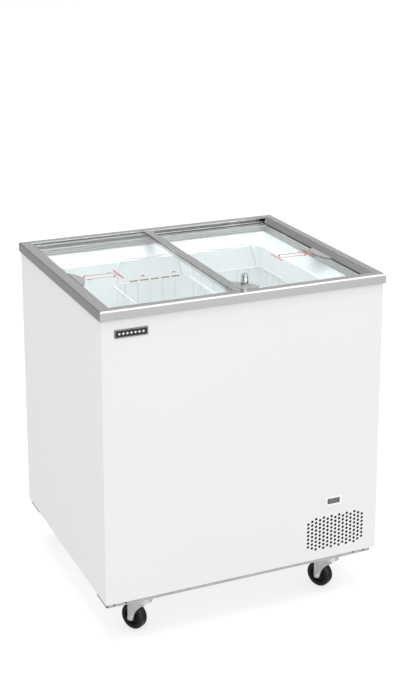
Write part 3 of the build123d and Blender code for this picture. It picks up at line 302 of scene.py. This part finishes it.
# %% Lid glass
def lid_glass():
    material, mix = start_finish("lid_glass")
    smear = noise(mix, 9.0, 3.0)
    pane = mix.node("BsdfPrincipled", {}, {
        "Base Color": (0.965, 0.992, 0.992, 1.0),
        "Roughness": smear * 0.012,
        "IOR": 1.45,
        "Transmission Weight": 1.0,
    })
    clear = mix.node("BsdfTransparent", {}, {"Color": (0.95, 0.975, 0.975, 1.0)})
    shadow = mix.node("LightPath", output="Is Shadow Ray")
    close_finish(mix, mix.node("MixShader", {}, {0: shadow, 1: pane, 2: clear}))
    return material


print("panes are 4 mm, slightly cool in tint")

# %% [markdown]
# ## Chrome, copper, foam and the display
# What is left is a finish each. Chrome is a bright mirror with hardly any haze. Copper tubes carry
# warm tarnish. Foam is a pale mass of bubbles. The display is a smoked window with a faint grid of
# rows behind it.

# %% Single finishes
def chrome():
    material, mix = start_finish("lock_chrome")
    haze = noise(mix, 120.0, 3.0)
    surface = mix.node("BsdfPrincipled", {}, {
        "Base Color": tint(mix, haze, (0.78, 0.78, 0.79), (0.84, 0.84, 0.85)),
        "Metallic": 1.0,
        "Roughness": 0.05 + haze * 0.06,
    })
    close_finish(mix, surface)
    return material


def copper():
    material, mix = start_finish("copper_tube")
    tarnish = noise(mix, 35.0, 5.0)
    surface = mix.node("BsdfPrincipled", {}, {
        "Base Color": tint(mix, tarnish, (0.33, 0.14, 0.07), (0.72, 0.36, 0.22)),
        "Metallic": 1.0,
        "Roughness": 0.25 + tarnish * 0.25,
    })
    close_finish(mix, surface)
    return material


def foam():
    material, mix = start_finish("insulation_foam")
    cells = {"Vector": in_place(mix), "Scale": 600.0}
    bubbles = mix.node("TexVoronoi", {}, cells, output="Distance")
    surface = mix.node("BsdfPrincipled", {}, {
        "Base Color": tint(mix, bubbles, (0.62, 0.52, 0.30), (0.86, 0.78, 0.55)),
        "Roughness": 0.9,
        "Normal": raised(mix, bubbles, 0.5),
    })
    close_finish(mix, surface)
    return material


def display_window():
    material, mix = start_finish("display_window")
    lines = {"Vector": in_place(mix), "Scale": 400.0}
    rows = mix.node("TexWave", {"bands_direction": "Z"}, lines)
    surface = mix.node("BsdfPrincipled", {}, {
        "Base Color": tint(mix, rows, (0.085, 0.09, 0.097), (0.115, 0.12, 0.127)),
        "Roughness": 0.22 + rows * 0.06,
        "Coat Weight": 0.4,
    })
    close_finish(mix, surface)
    return material


print("four single finishes")

# %% [markdown]
# ## Giving the imported parts their finishes
# The record names a material slot for every part. A table from slot to finish covers them all, with
# two exceptions: rails that run front to back turn their die lines with them, and the long channels
# under the base take a darker zinc than the casters that bolt to them. That darker zinc is painted
# shade, standing for the shadow under the chest and inside the channels.

# %% Finishes by slot
FRAME_GREY = 0.56
FRAME_ROUGHNESS = 0.22
finishes = {
    "white_paint": powder_coat(),
    "galvanised": zinc(
        "galvanised_sheet", SHEET_SPANGLE, (0.66, 0.67, 0.67), (0.82, 0.83, 0.83), 0.36, 0.5
    ),
    "zinc_bolt": zinc("zinc_plating", BOLT_SPANGLE, (0.70, 0.71, 0.71), (0.84, 0.84, 0.84), 0.30, 0.45),
    "liner_white": moulded("liner_enamel", (0.93, 0.955, 0.955), 0.26, 300.0, 0.05, 0.985),
    "collar_plastic": moulded("collar_plastic", (0.80, 0.84, 0.85), 0.30, 500.0, 0.05, 0.985),
    "foam": foam(),
    "copper": copper(),
    "white_plastic": moulded("white_plastic", (0.86, 0.86, 0.86), 0.32, depth=0.08, shade=0.97),
    "black_plastic": moulded("black_plastic", (0.045, 0.045, 0.048), 0.45),
    "badge_black": moulded("badge_enamel", (0.012, 0.012, 0.013), 0.22, 500.0, 0.03),
    "display_glass": display_window(),
    "frame_grey": drawn_metal("frame_metal_x", 0, FRAME_GREY, FRAME_ROUGHNESS),
    "grey_plastic": moulded("grey_plastic", (0.25, 0.255, 0.255), 0.38, depth=0.10, shade=0.94),
    "clear_glass": lid_glass(),
    "lock_chrome": chrome(),
    "basket_wire": moulded("wire_coating", (0.80, 0.82, 0.82), 0.28, 700.0, 0.04, 0.97),
    # The near-black fins are partly their own dark paint and partly painted shade for the dim cooling
    # bay behind the vents.
    "condenser_fins": moulded("fin_paint_and_bay_shade", (0.012, 0.012, 0.013), 0.6),
    "compressor_black": moulded("compressor_enamel", (0.02, 0.02, 0.021), 0.4, 300.0),
    "foot_rubber": moulded("rubber", (0.03, 0.03, 0.03), 0.75, 700.0, 0.3),
    "wheel_black": moulded("wheel_rubber", (0.012, 0.012, 0.013), 0.42, 500.0, 0.2, 0.8),
}
side_rail_metal = drawn_metal("frame_metal_y", 1, FRAME_GREY, FRAME_ROUGHNESS)
# The base channels' darker grey is painted shade: it stands for the shadow under the chest and inside
# the channels.
shade_dark_channel_zinc = zinc("channel_zinc_painted_shade", SHEET_SPANGLE, (0.44, 0.45, 0.45), (0.58, 0.59, 0.59), 0.40, 0.5)
exceptions = {name: shade_dark_channel_zinc for name in ("base_channel_front", "base_channel_rear")}
for name in ("left_rail", "right_rail", "upper_centre_profile", "lower_centre_profile"):
    exceptions[name] = side_rail_metal
print(len(finishes), "finishes by slot and", len(exceptions), "exceptions")


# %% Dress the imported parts
def dress(piece, material):
    """Gives every slot of a piece one material."""
    if not piece.material_slots:
        piece.data.materials.append(material)
    for place in piece.material_slots:
        place.material = material


for part in frame["record"]["subparts"]:
    name = part["node"]
    dress(frame["nodes"][name], exceptions.get(name, finishes[part["material_slot"]]))

# %% [markdown]
# ## New pieces
# Some of the chest is too fine for the imported model, such as wire, print and screw heads. Each new
# piece is built as vertices and faces first. Two short functions then do for every piece what has to
# be done: point its faces outward, dress it and let it ride on a body.

# %% From shape to piece
def outward_mesh(name, shape):
    """The mesh of a finished bmesh, with its faces pointing outward."""
    bmesh.ops.recalc_face_normals(shape, faces=shape.faces)
    mesh = bpy.data.meshes.new(name)
    shape.to_mesh(mesh)
    shape.free()
    return mesh


def new_piece(name, mesh, material, body):
    """A mesh as a dressed piece that rides on a body."""
    piece = bpy.data.objects.new(name, mesh)
    bpy.context.scene.collection.objects.link(piece)
    dress(piece, material)
    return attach(piece, body)


print("new pieces are dressed and ride on a body")

# %% [markdown]
# ## Track strip
# Inside the frame, below the two glass tracks, the rails carry a ribbed grey strip. It is the same
# section all the way round with mitred corners, like a picture frame, so one closed outline is set
# out at the four inner corners and joined side to side. Its ribs are low rounded beads in the light
# frame metal. The strip between them is dark grey, which is painted shade for the grooves between the
# ribs.

# %% Picture-frame pieces
SKIRT_HALF_X = 0.322
SKIRT_HALF_Y = 0.272


def framed(name, outlines, material):
    """Closed outlines of (inward, up) points, run round the inside of the frame's skirt."""
    shape = bmesh.new()
    for outline in outlines:
        rings = []
        for inward, level in outline:
            x, y = SKIRT_HALF_X - inward, SKIRT_HALF_Y - inward
            places = [(-x, -y, level), (x, -y, level), (x, y, level), (-x, y, level)]
            rings.append([shape.verts.new(place) for place in places])
        for ring, after in zip(rings, rings[1:] + rings[:1]):
            for side in range(4):
                turn = (side + 1) % 4
                shape.faces.new((ring[side], ring[turn], after[turn], after[side]))
    return new_piece(name, outward_mesh(name, shape), material, "cabinet")


print("the skirt is", round(2 * SKIRT_HALF_X, 3), "by", round(2 * SKIRT_HALF_Y, 3), "m inside")

# %% Strip and beads
STRIP_BACK = 0.0001
STRIP_FACE = 0.0003
STRIP_TOP = 0.8028
STRIP_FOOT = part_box("front_rail")[0].z + 0.0004
BEAD_HALF_HEIGHT = 0.0014
BEAD_DEPTH = 0.0008
BEAD_PITCH = 0.0052
TOP_BEAD = STRIP_TOP - 0.0018
BEAD_LEVELS = [TOP_BEAD - BEAD_PITCH * count for count in range(4)]
BEAD_STEPS = 6
strip = [
    (STRIP_BACK, STRIP_FOOT), (STRIP_FACE, STRIP_FOOT), (STRIP_FACE, STRIP_TOP), (STRIP_BACK, STRIP_TOP),
]
# The strip's dark grey between the light beads is painted shade for the grooves between the ribs.
strip_painted_groove_shade = moulded("strip_painted_groove_shade", (0.17, 0.172, 0.172), 0.45, depth=0.10, shade=0.94)
framed("track_strip", [strip], strip_painted_groove_shade)
beads = []
for level in BEAD_LEVELS:
    angles = [pi * step / BEAD_STEPS for step in range(BEAD_STEPS + 1)]
    beads.append([
        (STRIP_FACE + BEAD_DEPTH * sin(angle), level + BEAD_HALF_HEIGHT * cos(angle)) for angle in angles
    ])
framed("track_beads", beads, finishes["frame_grey"])
print("track strip has", len(beads), "beads")

# %% [markdown]
# ## Bending wire
# A basket is cut and bent wire. Each wire is listed by the points where it bends, and its corners
# are rounded by a short curve, because wire doesn't fold sharply. A curve object sweeps a round
# section along each path, and the result is kept as one mesh per basket, as a welder would see it.

# %% Wire tools
NEARLY_HALF = 0.45


def bent(points, bend):
    """The corner points of a wire, with each inner corner rounded over the length `bend`."""
    points = [Vector(point) for point in points]
    path = [points[0]]
    for before, corner, after in zip(points, points[1:], points[2:]):
        back, on = before - corner, after - corner
        arriving = back.normalized() * min(bend, back.length * NEARLY_HALF)
        leaving = on.normalized() * min(bend, on.length * NEARLY_HALF)
        for step in (0.0, 0.25, 0.5, 0.75, 1.0):
            path.append(corner + arriving * (1 - step) ** 2 + leaving * step**2)
    return path + [points[-1]]


def wirework(name, wires, body):
    """One piece of many wires, each (path, radius, closed), that rides on a body."""
    curve = bpy.data.curves.new(name, "CURVE")
    curve.dimensions = "3D"
    curve.bevel_depth = 1.0
    curve.bevel_resolution = 2
    curve.use_fill_caps = True
    for path, radius, closed in wires:
        spline = curve.splines.new("POLY")
        spline.points.add(len(path) - 1)
        for point, place in zip(spline.points, path):
            point.co = (*place, 1.0)
            point.radius = radius
        spline.use_cyclic_u = closed
    draft = bpy.data.objects.new(name + "_draft", curve)
    bpy.context.scene.collection.objects.link(draft)
    bpy.context.view_layer.update()
    mesh = bpy.data.meshes.new_from_object(draft.evaluated_get(bpy.context.evaluated_depsgraph_get()))
    bpy.data.objects.remove(draft)
    return new_piece(name, mesh, finishes["basket_wire"], body)


print("wires bend over a few millimetres")

# %% [markdown]
# ## The baskets
# Each basket hangs by two tall loop handles that hook over the ledge round the tank, and the middle
# of each loop dips to make room for a hand. Long wires run down the front, along the bottom and up
# the back; cross wires do the same from side to side; a heavier wire makes the rim.

# %% Basket sizes
BASKET_HALF_DEPTH = 0.2245
BASKET_RIM = 0.700
BASKET_FLOOR = 0.4735
CORNER = 0.014
RIM_WIRE = 0.0018
MESH_WIRE = 0.0012
HANDLE_WIRE = 0.0021
HANDLE_SHOULDER = 0.7635
HANDLE_FOOT = BASKET_HALF_DEPTH + 0.001
HANDLE_REACH = 0.238
HANDLE_BEND = 0.010
LEDGE_TOP = 0.757
REST_GAP = 0.0004
WIRES_ACROSS = 6
WIRES_ALONG = 12
HOOP_LEVELS = (0.625, 0.550)
print("mesh is", round(2 * BASKET_HALF_DEPTH / WIRES_ALONG * 1000), "mm along the basket")

# %% [markdown]
# Hoops and the rim are closed wires, so their path starts in the middle of a side, where no bend is
# needed. A handle is the same on both sides of its middle, so only half of it is set out and the
# rest is its mirror image. Both baskets come from one function, between their own two sides.

# %% Basket wires
def loop_round(left, right, level, radius):
    """A closed wire round the basket at one level."""
    front, back = -BASKET_HALF_DEPTH, BASKET_HALF_DEPTH
    middle = (left + right) / 2
    corners = [
        (middle, front, level), (right, front, level), (right, back, level),
        (left, back, level), (left, front, level), (middle, front, level),
    ]
    return bent(corners, CORNER)[:-1], radius, True


def handle(left, right, side):
    """A tall loop: up from the rim, leaning out, with a dip that rests on the ledge."""
    foot_y = side * HANDLE_FOOT
    top_y = side * HANDLE_REACH
    lean_y = foot_y + (top_y - foot_y) * 0.3
    dip = LEDGE_TOP + HANDLE_WIRE + REST_GAP
    # shares of the basket's width, from its left side to the middle of the handle
    half = [
        (0.055, foot_y, BASKET_RIM), (0.125, lean_y, HANDLE_SHOULDER),
        (0.33, top_y, HANDLE_SHOULDER), (0.39, top_y, dip),
    ]
    across = half + [(1 - share, y, z) for share, y, z in reversed(half)]
    points = [(left + (right - left) * share, y, z) for share, y, z in across]
    return bent(points, HANDLE_BEND), HANDLE_WIRE, False


def basket_wires(left, right):
    """Every wire of one basket between its left and right sides."""
    front, back = -BASKET_HALF_DEPTH, BASKET_HALF_DEPTH
    wires = [loop_round(left, right, BASKET_RIM, RIM_WIRE)]
    wires += [loop_round(left, right, level, MESH_WIRE) for level in HOOP_LEVELS]
    top, low = BASKET_RIM, BASKET_FLOOR
    for count in range(1, WIRES_ACROSS):
        x = left + (right - left) * count / WIRES_ACROSS
        corners = [(x, front, top), (x, front, low), (x, back, low), (x, back, top)]
        wires.append((bent(corners, CORNER), MESH_WIRE, False))
    low = BASKET_FLOOR + 2 * MESH_WIRE
    for count in range(1, WIRES_ALONG):
        y = front + (back - front) * count / WIRES_ALONG
        corners = [(left, y, top), (left, y, low), (right, y, low), (right, y, top)]
        wires.append((bent(corners, CORNER), MESH_WIRE, False))
    wires += [handle(left, right, side) for side in (-1, 1)]
    return wires


baskets = {}
for side in ("left", "right"):
    low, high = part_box("basket_" + side)
    sides = (low.x + RIM_WIRE, high.x - RIM_WIRE)
    basket = wirework("wire_basket_" + side, basket_wires(*sides), "basket_" + side)
    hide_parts("basket_" + side)
    baskets[side] = sides
    print(basket.name, "has", len(basket.data.polygons), "faces")

# %% [markdown]
# ## The dividers
# A divider is a flat wire panel that stands across a basket. Its top bar is bent down at both ends
# into the panel's sides, upright wires fill it, and a cross bar rests on the basket's side rims.

# %% Divider wires
DIVIDER_WIRES = 5
DIVIDER_GAP = 0.006
DIVIDER_BEND = 0.016
DIVIDER_WIRE = RIM_WIRE * 0.8
BAR_LEVEL = BASKET_RIM + 2 * RIM_WIRE + 0.0006
for side, (left, right) in baskets.items():
    low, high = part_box("divider_" + side)
    middle_y = (low.y + high.y) / 2
    x0, x1 = left + DIVIDER_GAP, right - DIVIDER_GAP
    top, bottom = high.z - RIM_WIRE, low.z + RIM_WIRE
    border = [(x0, middle_y, bottom), (x0, middle_y, top), (x1, middle_y, top), (x1, middle_y, bottom)]
    wires = [(bent(border, DIVIDER_BEND), DIVIDER_WIRE, False)]
    wires.append(([Vector((x0, middle_y, bottom)), Vector((x1, middle_y, bottom))], MESH_WIRE, False))
    bar = [Vector((x, middle_y, BAR_LEVEL)) for x in (left, right)]
    wires.append((bar, MESH_WIRE, False))
    for count in range(1, DIVIDER_WIRES):
        x = x0 + (x1 - x0) * count / DIVIDER_WIRES
        wires.append(([Vector((x, middle_y, bottom)), Vector((x, middle_y, top))], MESH_WIRE, False))
    divider = wirework("wire_divider_" + side, wires, "divider_" + side)
    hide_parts("divider_" + side)
    print(divider.name, "stands at y", round(middle_y, 3))

# %% [markdown]
# ## Printed marks
# Each pane carries a printed slide mark in red: a double-ended arrow with a bar at one end or both.
# A dashed red line on the back of the tank shows how high it may be filled. Print is ink with a
# real, tiny thickness, so each mark is a thin solid laid just off its surface.

# %% Print tools
def ink(name, colour, roughness=0.5):
    """Screen-printed ink, slightly uneven where the mesh lifted."""
    material, mix = start_finish(name)
    mottle = noise(mix, 500.0, 3.0)
    thin = [min(1.0, value * 1.35 + 0.02) for value in colour]
    surface = mix.node("BsdfPrincipled", {}, {
        "Base Color": tint(mix, mottle, colour, thin),
        "Roughness": roughness + mottle * 0.1,
    })
    close_finish(mix, surface)
    return material


def stamped(name, outlines, thickness, place, material, body):
    """Flat (u, v) outlines raised by a thickness; `place` turns (u, v, height) into the frame."""
    shape = bmesh.new()
    for outline in outlines:
        low = [shape.verts.new(place(u, v, 0.0)) for u, v in outline]
        high = [shape.verts.new(place(u, v, thickness)) for u, v in outline]
        shape.faces.new(low[::-1])
        shape.faces.new(high)
        for index in range(len(outline)):
            after = (index + 1) % len(outline)
            shape.faces.new((low[index], low[after], high[after], high[index]))
    return new_piece(name, outward_mesh(name, shape), material, body)


def stroke(start, end, width):
    """A straight pen stroke as a four-sided outline."""
    start, end = Vector(start), Vector(end)
    along = (end - start).normalized() * 0.5 * width
    across = Vector((-along.y, along.x))
    return [start - across, end - across, end + across, start + across]


print("ink is drawn as strokes")

# %% [markdown]
# The arrow is drawn in outline: two rails, and at each end a tip with two wings. Its proportions are
# shares of its width, so one function draws both lids' marks. The upper lid's bar is solid, and the
# lower lid's two bars are dashed.

# %% Slide marks on the lids
HEAD_SHARE = 0.42
WING_SHARE = 0.78
BAR_REACH = 1.35
BAR_GAP = 2.5
BAR_PEN = 1.4
DASH_SHARE = 0.7


def slide_mark(centre, length, width, pen, bar_ends, dashes):
    """Strokes of a double-ended outline arrow, with a bar beyond each of its `bar_ends`."""
    x, y = centre
    head = width * HEAD_SHARE
    strokes = []
    for rail in (-width / 2, width / 2):
        strokes.append(stroke((x - length / 2 + head, y + rail), (x + length / 2 - head, y + rail), pen))
    for end in (-1, 1):
        tip = (x + end * length / 2, y)
        for wing in (-1, 1):
            corner = (x + end * (length / 2 - head), y + wing * width * WING_SHARE)
            strokes.append(stroke(tip, corner, pen))
            strokes.append(stroke(corner, (corner[0], y + wing * width / 2), pen))
    reach = BAR_REACH * width
    step = 2 * reach / dashes
    inked = step if dashes == 1 else step * DASH_SHARE
    for end in bar_ends:
        bar_x = x + end * (length / 2 + BAR_GAP * pen)
        for count in range(dashes):
            low = y - reach + step * count
            strokes.append(stroke((bar_x, low), (bar_x, low + inked), BAR_PEN * pen))
    return strokes


INK = 0.00012
INK_GAP = 0.0001
red_ink = ink("red_ink", (0.28, 0.02, 0.015))
MARKS = {
    "upper": slide_mark((-0.266, -0.043), 0.082, 0.026, 0.0024, (1,), 1),
    "lower": slide_mark((0.250, -0.038), 0.074, 0.024, 0.0034, (-1, 1), 6),
}
for lid, strokes in MARKS.items():
    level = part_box(lid + "_lid_glass")[1].z + INK_GAP
    stamped(
        lid + "_slide_mark", strokes, INK, lambda u, v, h: (u, v, level + h), red_ink,
        lid + "_lid",
    )
print("two slide marks printed")

# %% [markdown]
# The fill line belongs to the tank, so it rides on the cabinet. Its dashes follow one loop, and two
# short ticks stand above it.

# %% Fill line on the tank
LINER_BACK = 0.236
LINE_LEVEL = 0.700
LINE_LEFT, LINE_RIGHT = -0.085, 0.062
LINE_PEN = 0.0042
DASHES = 5
TICK_LEVEL = LINE_LEVEL + 0.012
TICK_HALF = 0.005
TICK_PEN = 0.0036
line_strokes = []
step = (LINE_RIGHT - LINE_LEFT) / DASHES
for count in range(DASHES):
    start = LINE_LEFT + step * count
    line_strokes.append(stroke((start, LINE_LEVEL), (start + step * 0.8, LINE_LEVEL), LINE_PEN))
for share in (0.25, 0.85):
    x = LINE_LEFT + (LINE_RIGHT - LINE_LEFT) * share
    line_strokes.append(stroke((x - TICK_HALF, TICK_LEVEL), (x + TICK_HALF, TICK_LEVEL), TICK_PEN))
stamped(
    "fill_line", line_strokes, INK, lambda u, v, h: (u, LINER_BACK - 0.0002 - h, v), red_ink,
    "cabinet",
)
print("fill line has", DASHES, "dashes")

# %% [markdown]
# ## The display and the badge
# The display shows dim seven-segment figures, all segments unlit, as when the chest is switched
# off. The badge is a blank black plate, so it gets only a thin bright border and a row of plain
# lozenges where a name would be.

# %% Display figures
WINDOW_LOW, WINDOW_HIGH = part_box("display_window")
FIGURE_HEIGHT = (WINDOW_HIGH.z - WINDOW_LOW.z) * 0.62
FIGURE_WIDTH = FIGURE_HEIGHT * 0.52
FIGURE_PITCH = FIGURE_WIDTH * 1.65
FIGURE_LEAN = FIGURE_HEIGHT * 0.04
SEGMENT_PEN = 0.0008
SEGMENT_GAP = 0.0005
FILM = 0.00005
SEGMENTS = [
    ((-1, 1), (1, 1)), ((-1, 0), (1, 0)), ((-1, -1), (1, -1)),
    ((-1, 1), (-1, 0)), ((-1, 0), (-1, -1)), ((1, 1), (1, 0)), ((1, 0), (1, -1)),
]
window_front = WINDOW_LOW.y
centre = Vector(((WINDOW_LOW.x + WINDOW_HIGH.x) / 2, (WINDOW_LOW.z + WINDOW_HIGH.z) / 2))
figures = []
for place in (-1, 0, 1):
    for segment in SEGMENTS:
        figure = centre + Vector((place * FIGURE_PITCH, 0))
        offsets = [(u * FIGURE_WIDTH / 2 + v * FIGURE_LEAN, v * FIGURE_HEIGHT / 2) for u, v in segment]
        start, end = [figure + Vector(offset) for offset in offsets]
        gap = (end - start).normalized() * SEGMENT_GAP
        figures.append(stroke(start + gap, end - gap, SEGMENT_PEN))
stamped(
    "display_figures", figures, FILM, lambda u, v, h: (u, window_front - FILM - h, v),
    ink("dim_segments", (0.20, 0.205, 0.21), 0.35), "cabinet",
)
print("three figures of", round(FIGURE_HEIGHT * 1000, 1), "mm")

# %% [markdown]
# The badge's trim is one piece of print: four thin strokes just inside the plate's edge, and a row
# of lozenges spaced evenly between them.

# %% Badge border and lozenges
MARGIN = 0.0014
BORDER_PEN = 0.0005
LOZENGES = 7
LOZENGE_HALF = 0.0032
TRIM = 0.00015
SUNK = 0.00005
badge_low, badge_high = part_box("badge_plate")
badge_front = badge_low.y
u0, u1 = badge_low.x + MARGIN, badge_high.x - MARGIN
v0, v1 = badge_low.z + MARGIN, badge_high.z - MARGIN
sides = [((u0, v0), (u1, v0)), ((u0, v1), (u1, v1)), ((u0, v0), (u0, v1)), ((u1, v0), (u1, v1))]
trim = [stroke(start, end, BORDER_PEN) for start, end in sides]
for count in range(LOZENGES):
    u, v = u0 + (u1 - u0) * (count + 1) / (LOZENGES + 1), (v0 + v1) / 2
    half = LOZENGE_HALF
    trim.append([(u - half, v), (u, v - half), (u + half, v), (u, v + half)])
stamped(
    "badge_trim", trim, TRIM, lambda u, v, h: (u, badge_front + SUNK - h, v),
    ink("badge_silver", (0.62, 0.63, 0.64), 0.3), "cabinet",
)
print("badge has", LOZENGES, "plain lozenges")

# %% [markdown]
# ## Screws
# Pan-head screws hold the front channel and the back sheet. Each head is a low dome with a cross
# recess: rings of points get smaller and higher towards the middle, and the innermost ring sinks
# between the arms of the cross. A whole row of heads is one piece.

# %% Screw heads
HEAD_STEPS = 24
HEAD_RISE = 0.55
RECESS_LEVEL = 0.12
RECESS_DEPTH = 0.55
# (share of the radius, share of the rise), from the rim inward
HEAD_PROFILE = ((1.0, 0.0), (0.96, 0.30), (0.80, 0.62), (0.52, 0.86), (0.34, 0.93))


def screw_heads(name, centres, outward, radius, body, slot_name):
    """Domed heads with a cross recess, facing along `outward`, at the centres given."""
    outward = Vector(outward)
    across = outward.cross(Vector((0, 0, 1))).normalized()
    up = across.cross(outward)
    angles = [2 * pi * step / HEAD_STEPS for step in range(HEAD_STEPS)]
    shape = bmesh.new()
    for centre in centres:
        centre = Vector(centre)
        rings = []
        for reach, height in HEAD_PROFILE:
            middle = centre + outward * radius * HEAD_RISE * height
            spokes = [(across * cos(angle) + up * sin(angle)) * radius * reach for angle in angles]
            rings.append([shape.verts.new(middle + spoke) for spoke in spokes])
        for step, vertex in enumerate(rings[-1]):
            if step % (HEAD_STEPS // 4) in (2, 3, 4):
                vertex.co -= (vertex.co - centre) * RECESS_DEPTH
        hollow = shape.verts.new(centre + outward * radius * RECESS_LEVEL)
        for step in range(HEAD_STEPS):
            after = (step + 1) % HEAD_STEPS
            for inner, outer in zip(rings[1:], rings):
                shape.faces.new((outer[step], outer[after], inner[after], inner[step]))
            shape.faces.new((rings[-1][step], rings[-1][after], hollow))
        shape.faces.new(rings[0][::-1])
    mesh = outward_mesh(name, shape)
    for face in mesh.polygons:
        face.use_smooth = True
    return new_piece(name, mesh, finishes[slot_name], body)


print("each head has", len(HEAD_PROFILE), "rings")

# %% Screws along the front channel
CHANNEL_SCREW = 0.0026
CHANNEL_INSETS = (0.015, 0.044)
low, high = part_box("base_channel_front")
level = (low.z + high.z) / 2 + 0.001
row = [low.x + inset for inset in CHANNEL_INSETS] + [high.x - inset for inset in CHANNEL_INSETS]
screw_heads(
    "channel_screws", [(x, low.y, level) for x in row], (0, -1, 0), CHANNEL_SCREW,
    "cabinet", "black_plastic",
)
print(len(row), "screws along the front channel")

# %% Screws round the back sheet
BACK_SCREW = 0.0034
EDGE = 0.014
BACK_GAPS = 4
low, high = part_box("back_panel")
span = high.x - low.x - 2 * EDGE
row = [low.x + EDGE + span * count / BACK_GAPS for count in range(BACK_GAPS + 1)]
levels = (low.z + EDGE, high.z - EDGE)
screw_heads(
    "back_screws", [(x, high.y, level) for x in row for level in levels], (0, 1, 0), BACK_SCREW,
    "cabinet", "zinc_bolt",
)
print(2 * len(row), "screws round the back sheet")

# %% [markdown]
# ## Studio
# The set is a plain pale floor under a white sky. The sky is one even brightness to everything
# matt, so that the white panels read as white from any side. Shiny metal needs something to mirror,
# so to glossy rays the same sky is a room: bright in front and overhead, dim behind, and dark at
# both ends. The floor glows a little, which keeps the shadow under the chest pale.

# %% Floor
FLOOR_HALF = 14.0
FLOOR_GLOW = 0.68
floor_mesh = bpy.data.meshes.new("studio_floor")
floor_shape = bmesh.new()
corners = [(-1, -1), (1, -1), (1, 1), (-1, 1)]
floor_shape.faces.new([floor_shape.verts.new((x * FLOOR_HALF, y * FLOOR_HALF, 0.0)) for x, y in corners])
floor_shape.to_mesh(floor_mesh)
floor_shape.free()
floor = bpy.data.objects.new("studio_floor", floor_mesh)
bpy.context.scene.collection.objects.link(floor)
floor_finish, mix = start_finish("studio_floor")
grain = noise(mix, 40.0, 3.0)
close_finish(mix, mix.node("BsdfPrincipled", {}, {
    "Base Color": tint(mix, grain, (0.37, 0.37, 0.37), (0.39, 0.39, 0.39)),
    "Roughness": 0.9,
    "Specular IOR Level": 0.0,
    "Emission Color": (1.0, 1.0, 1.0, 1.0),
    "Emission Strength": FLOOR_GLOW,
}))
dress(floor, floor_finish)
floor.visible_glossy = False
print("floor is", 2 * FLOOR_HALF, "m wide")

# %% Sky
TOWARDS_FRONT = 0.55
OVER_THE_TOP = [
    (0.0, 0.78), (0.15, 0.75), (0.36, 0.64), (0.43, 0.62), (0.52, 0.44),
    (0.60, 1.20), (0.70, 1.60), (0.85, 2.10),
]
SIDE_TO_SIDE = [(0.12, 0.15), (0.20, 0.60), (0.45, 0.60), (0.62, 1.0), (0.82, 1.0), (0.90, 0.15)]
world = bpy.data.worlds.new("studio_sky")
bpy.context.scene.world = world
world.use_nodes = True
world.node_tree.nodes.clear()
sky = Signal(world.node_tree)
direction = sky.node("TexCoord", output="Generated")
across, back, up = [sky.node("SeparateXYZ", {}, {"Vector": direction}, output=axis) for axis in "XYZ"]
lift = (up - back * TOWARDS_FRONT) * 0.5 + 0.5
room = sky.node("ValToRGB", {"stops": OVER_THE_TOP}, {"Fac": lift})
ends = sky.node("ValToRGB", {"stops": SIDE_TO_SIDE}, {"Fac": across * 0.5 + 0.5})
shiny = sky.node("Background", {}, {"Color": room * ends, "Strength": 1.0})
even = sky.node("Background", {}, {"Color": (1.0, 1.0, 1.0, 1.0), "Strength": 1.0})
glossy_ray = sky.node("LightPath", output="Is Glossy Ray")
close_sky = sky.node("MixShader", {}, {0: glossy_ray, 1: even, 2: shiny})
output = world.node_tree.nodes.new("ShaderNodeOutputWorld")
world.node_tree.links.new(close_sky.socket, output.inputs["Surface"])
bpy.context.scene.view_settings.view_transform = "Standard"
print("the sky has", len(OVER_THE_TOP), "levels from back to front")

# %% [markdown]
# A sky alone lights a deep white tank too little, so a large lamp hangs over it. A second, weak lamp
# in front keeps the front panel a shade lighter than the side. Both are hidden from glossy rays, so
# that the glass and the rails mirror only the sky.

# %% Lamps
def softbox(name, place, aim, size, power):
    """A square area lamp at `place` that faces `aim` and leaves no hard mirror image."""
    lamp = bpy.data.lights.new(name, "AREA")
    lamp.size = size
    lamp.energy = power
    stand = bpy.data.objects.new(name, lamp)
    stand.location = place
    stand.rotation_euler = (Vector(aim) - Vector(place)).to_track_quat("-Z", "Y").to_euler()
    stand.visible_glossy = False
    bpy.context.scene.collection.objects.link(stand)


softbox("overhead", (0.0, -0.1, 3.0), (0.0, 0.0, 0.8), 2.2, 53.0)
softbox("front_key", (-0.6, -3.4, 1.4), (0.0, 0.0, 0.5), 2.0, 1.5)
print("two soft lamps")
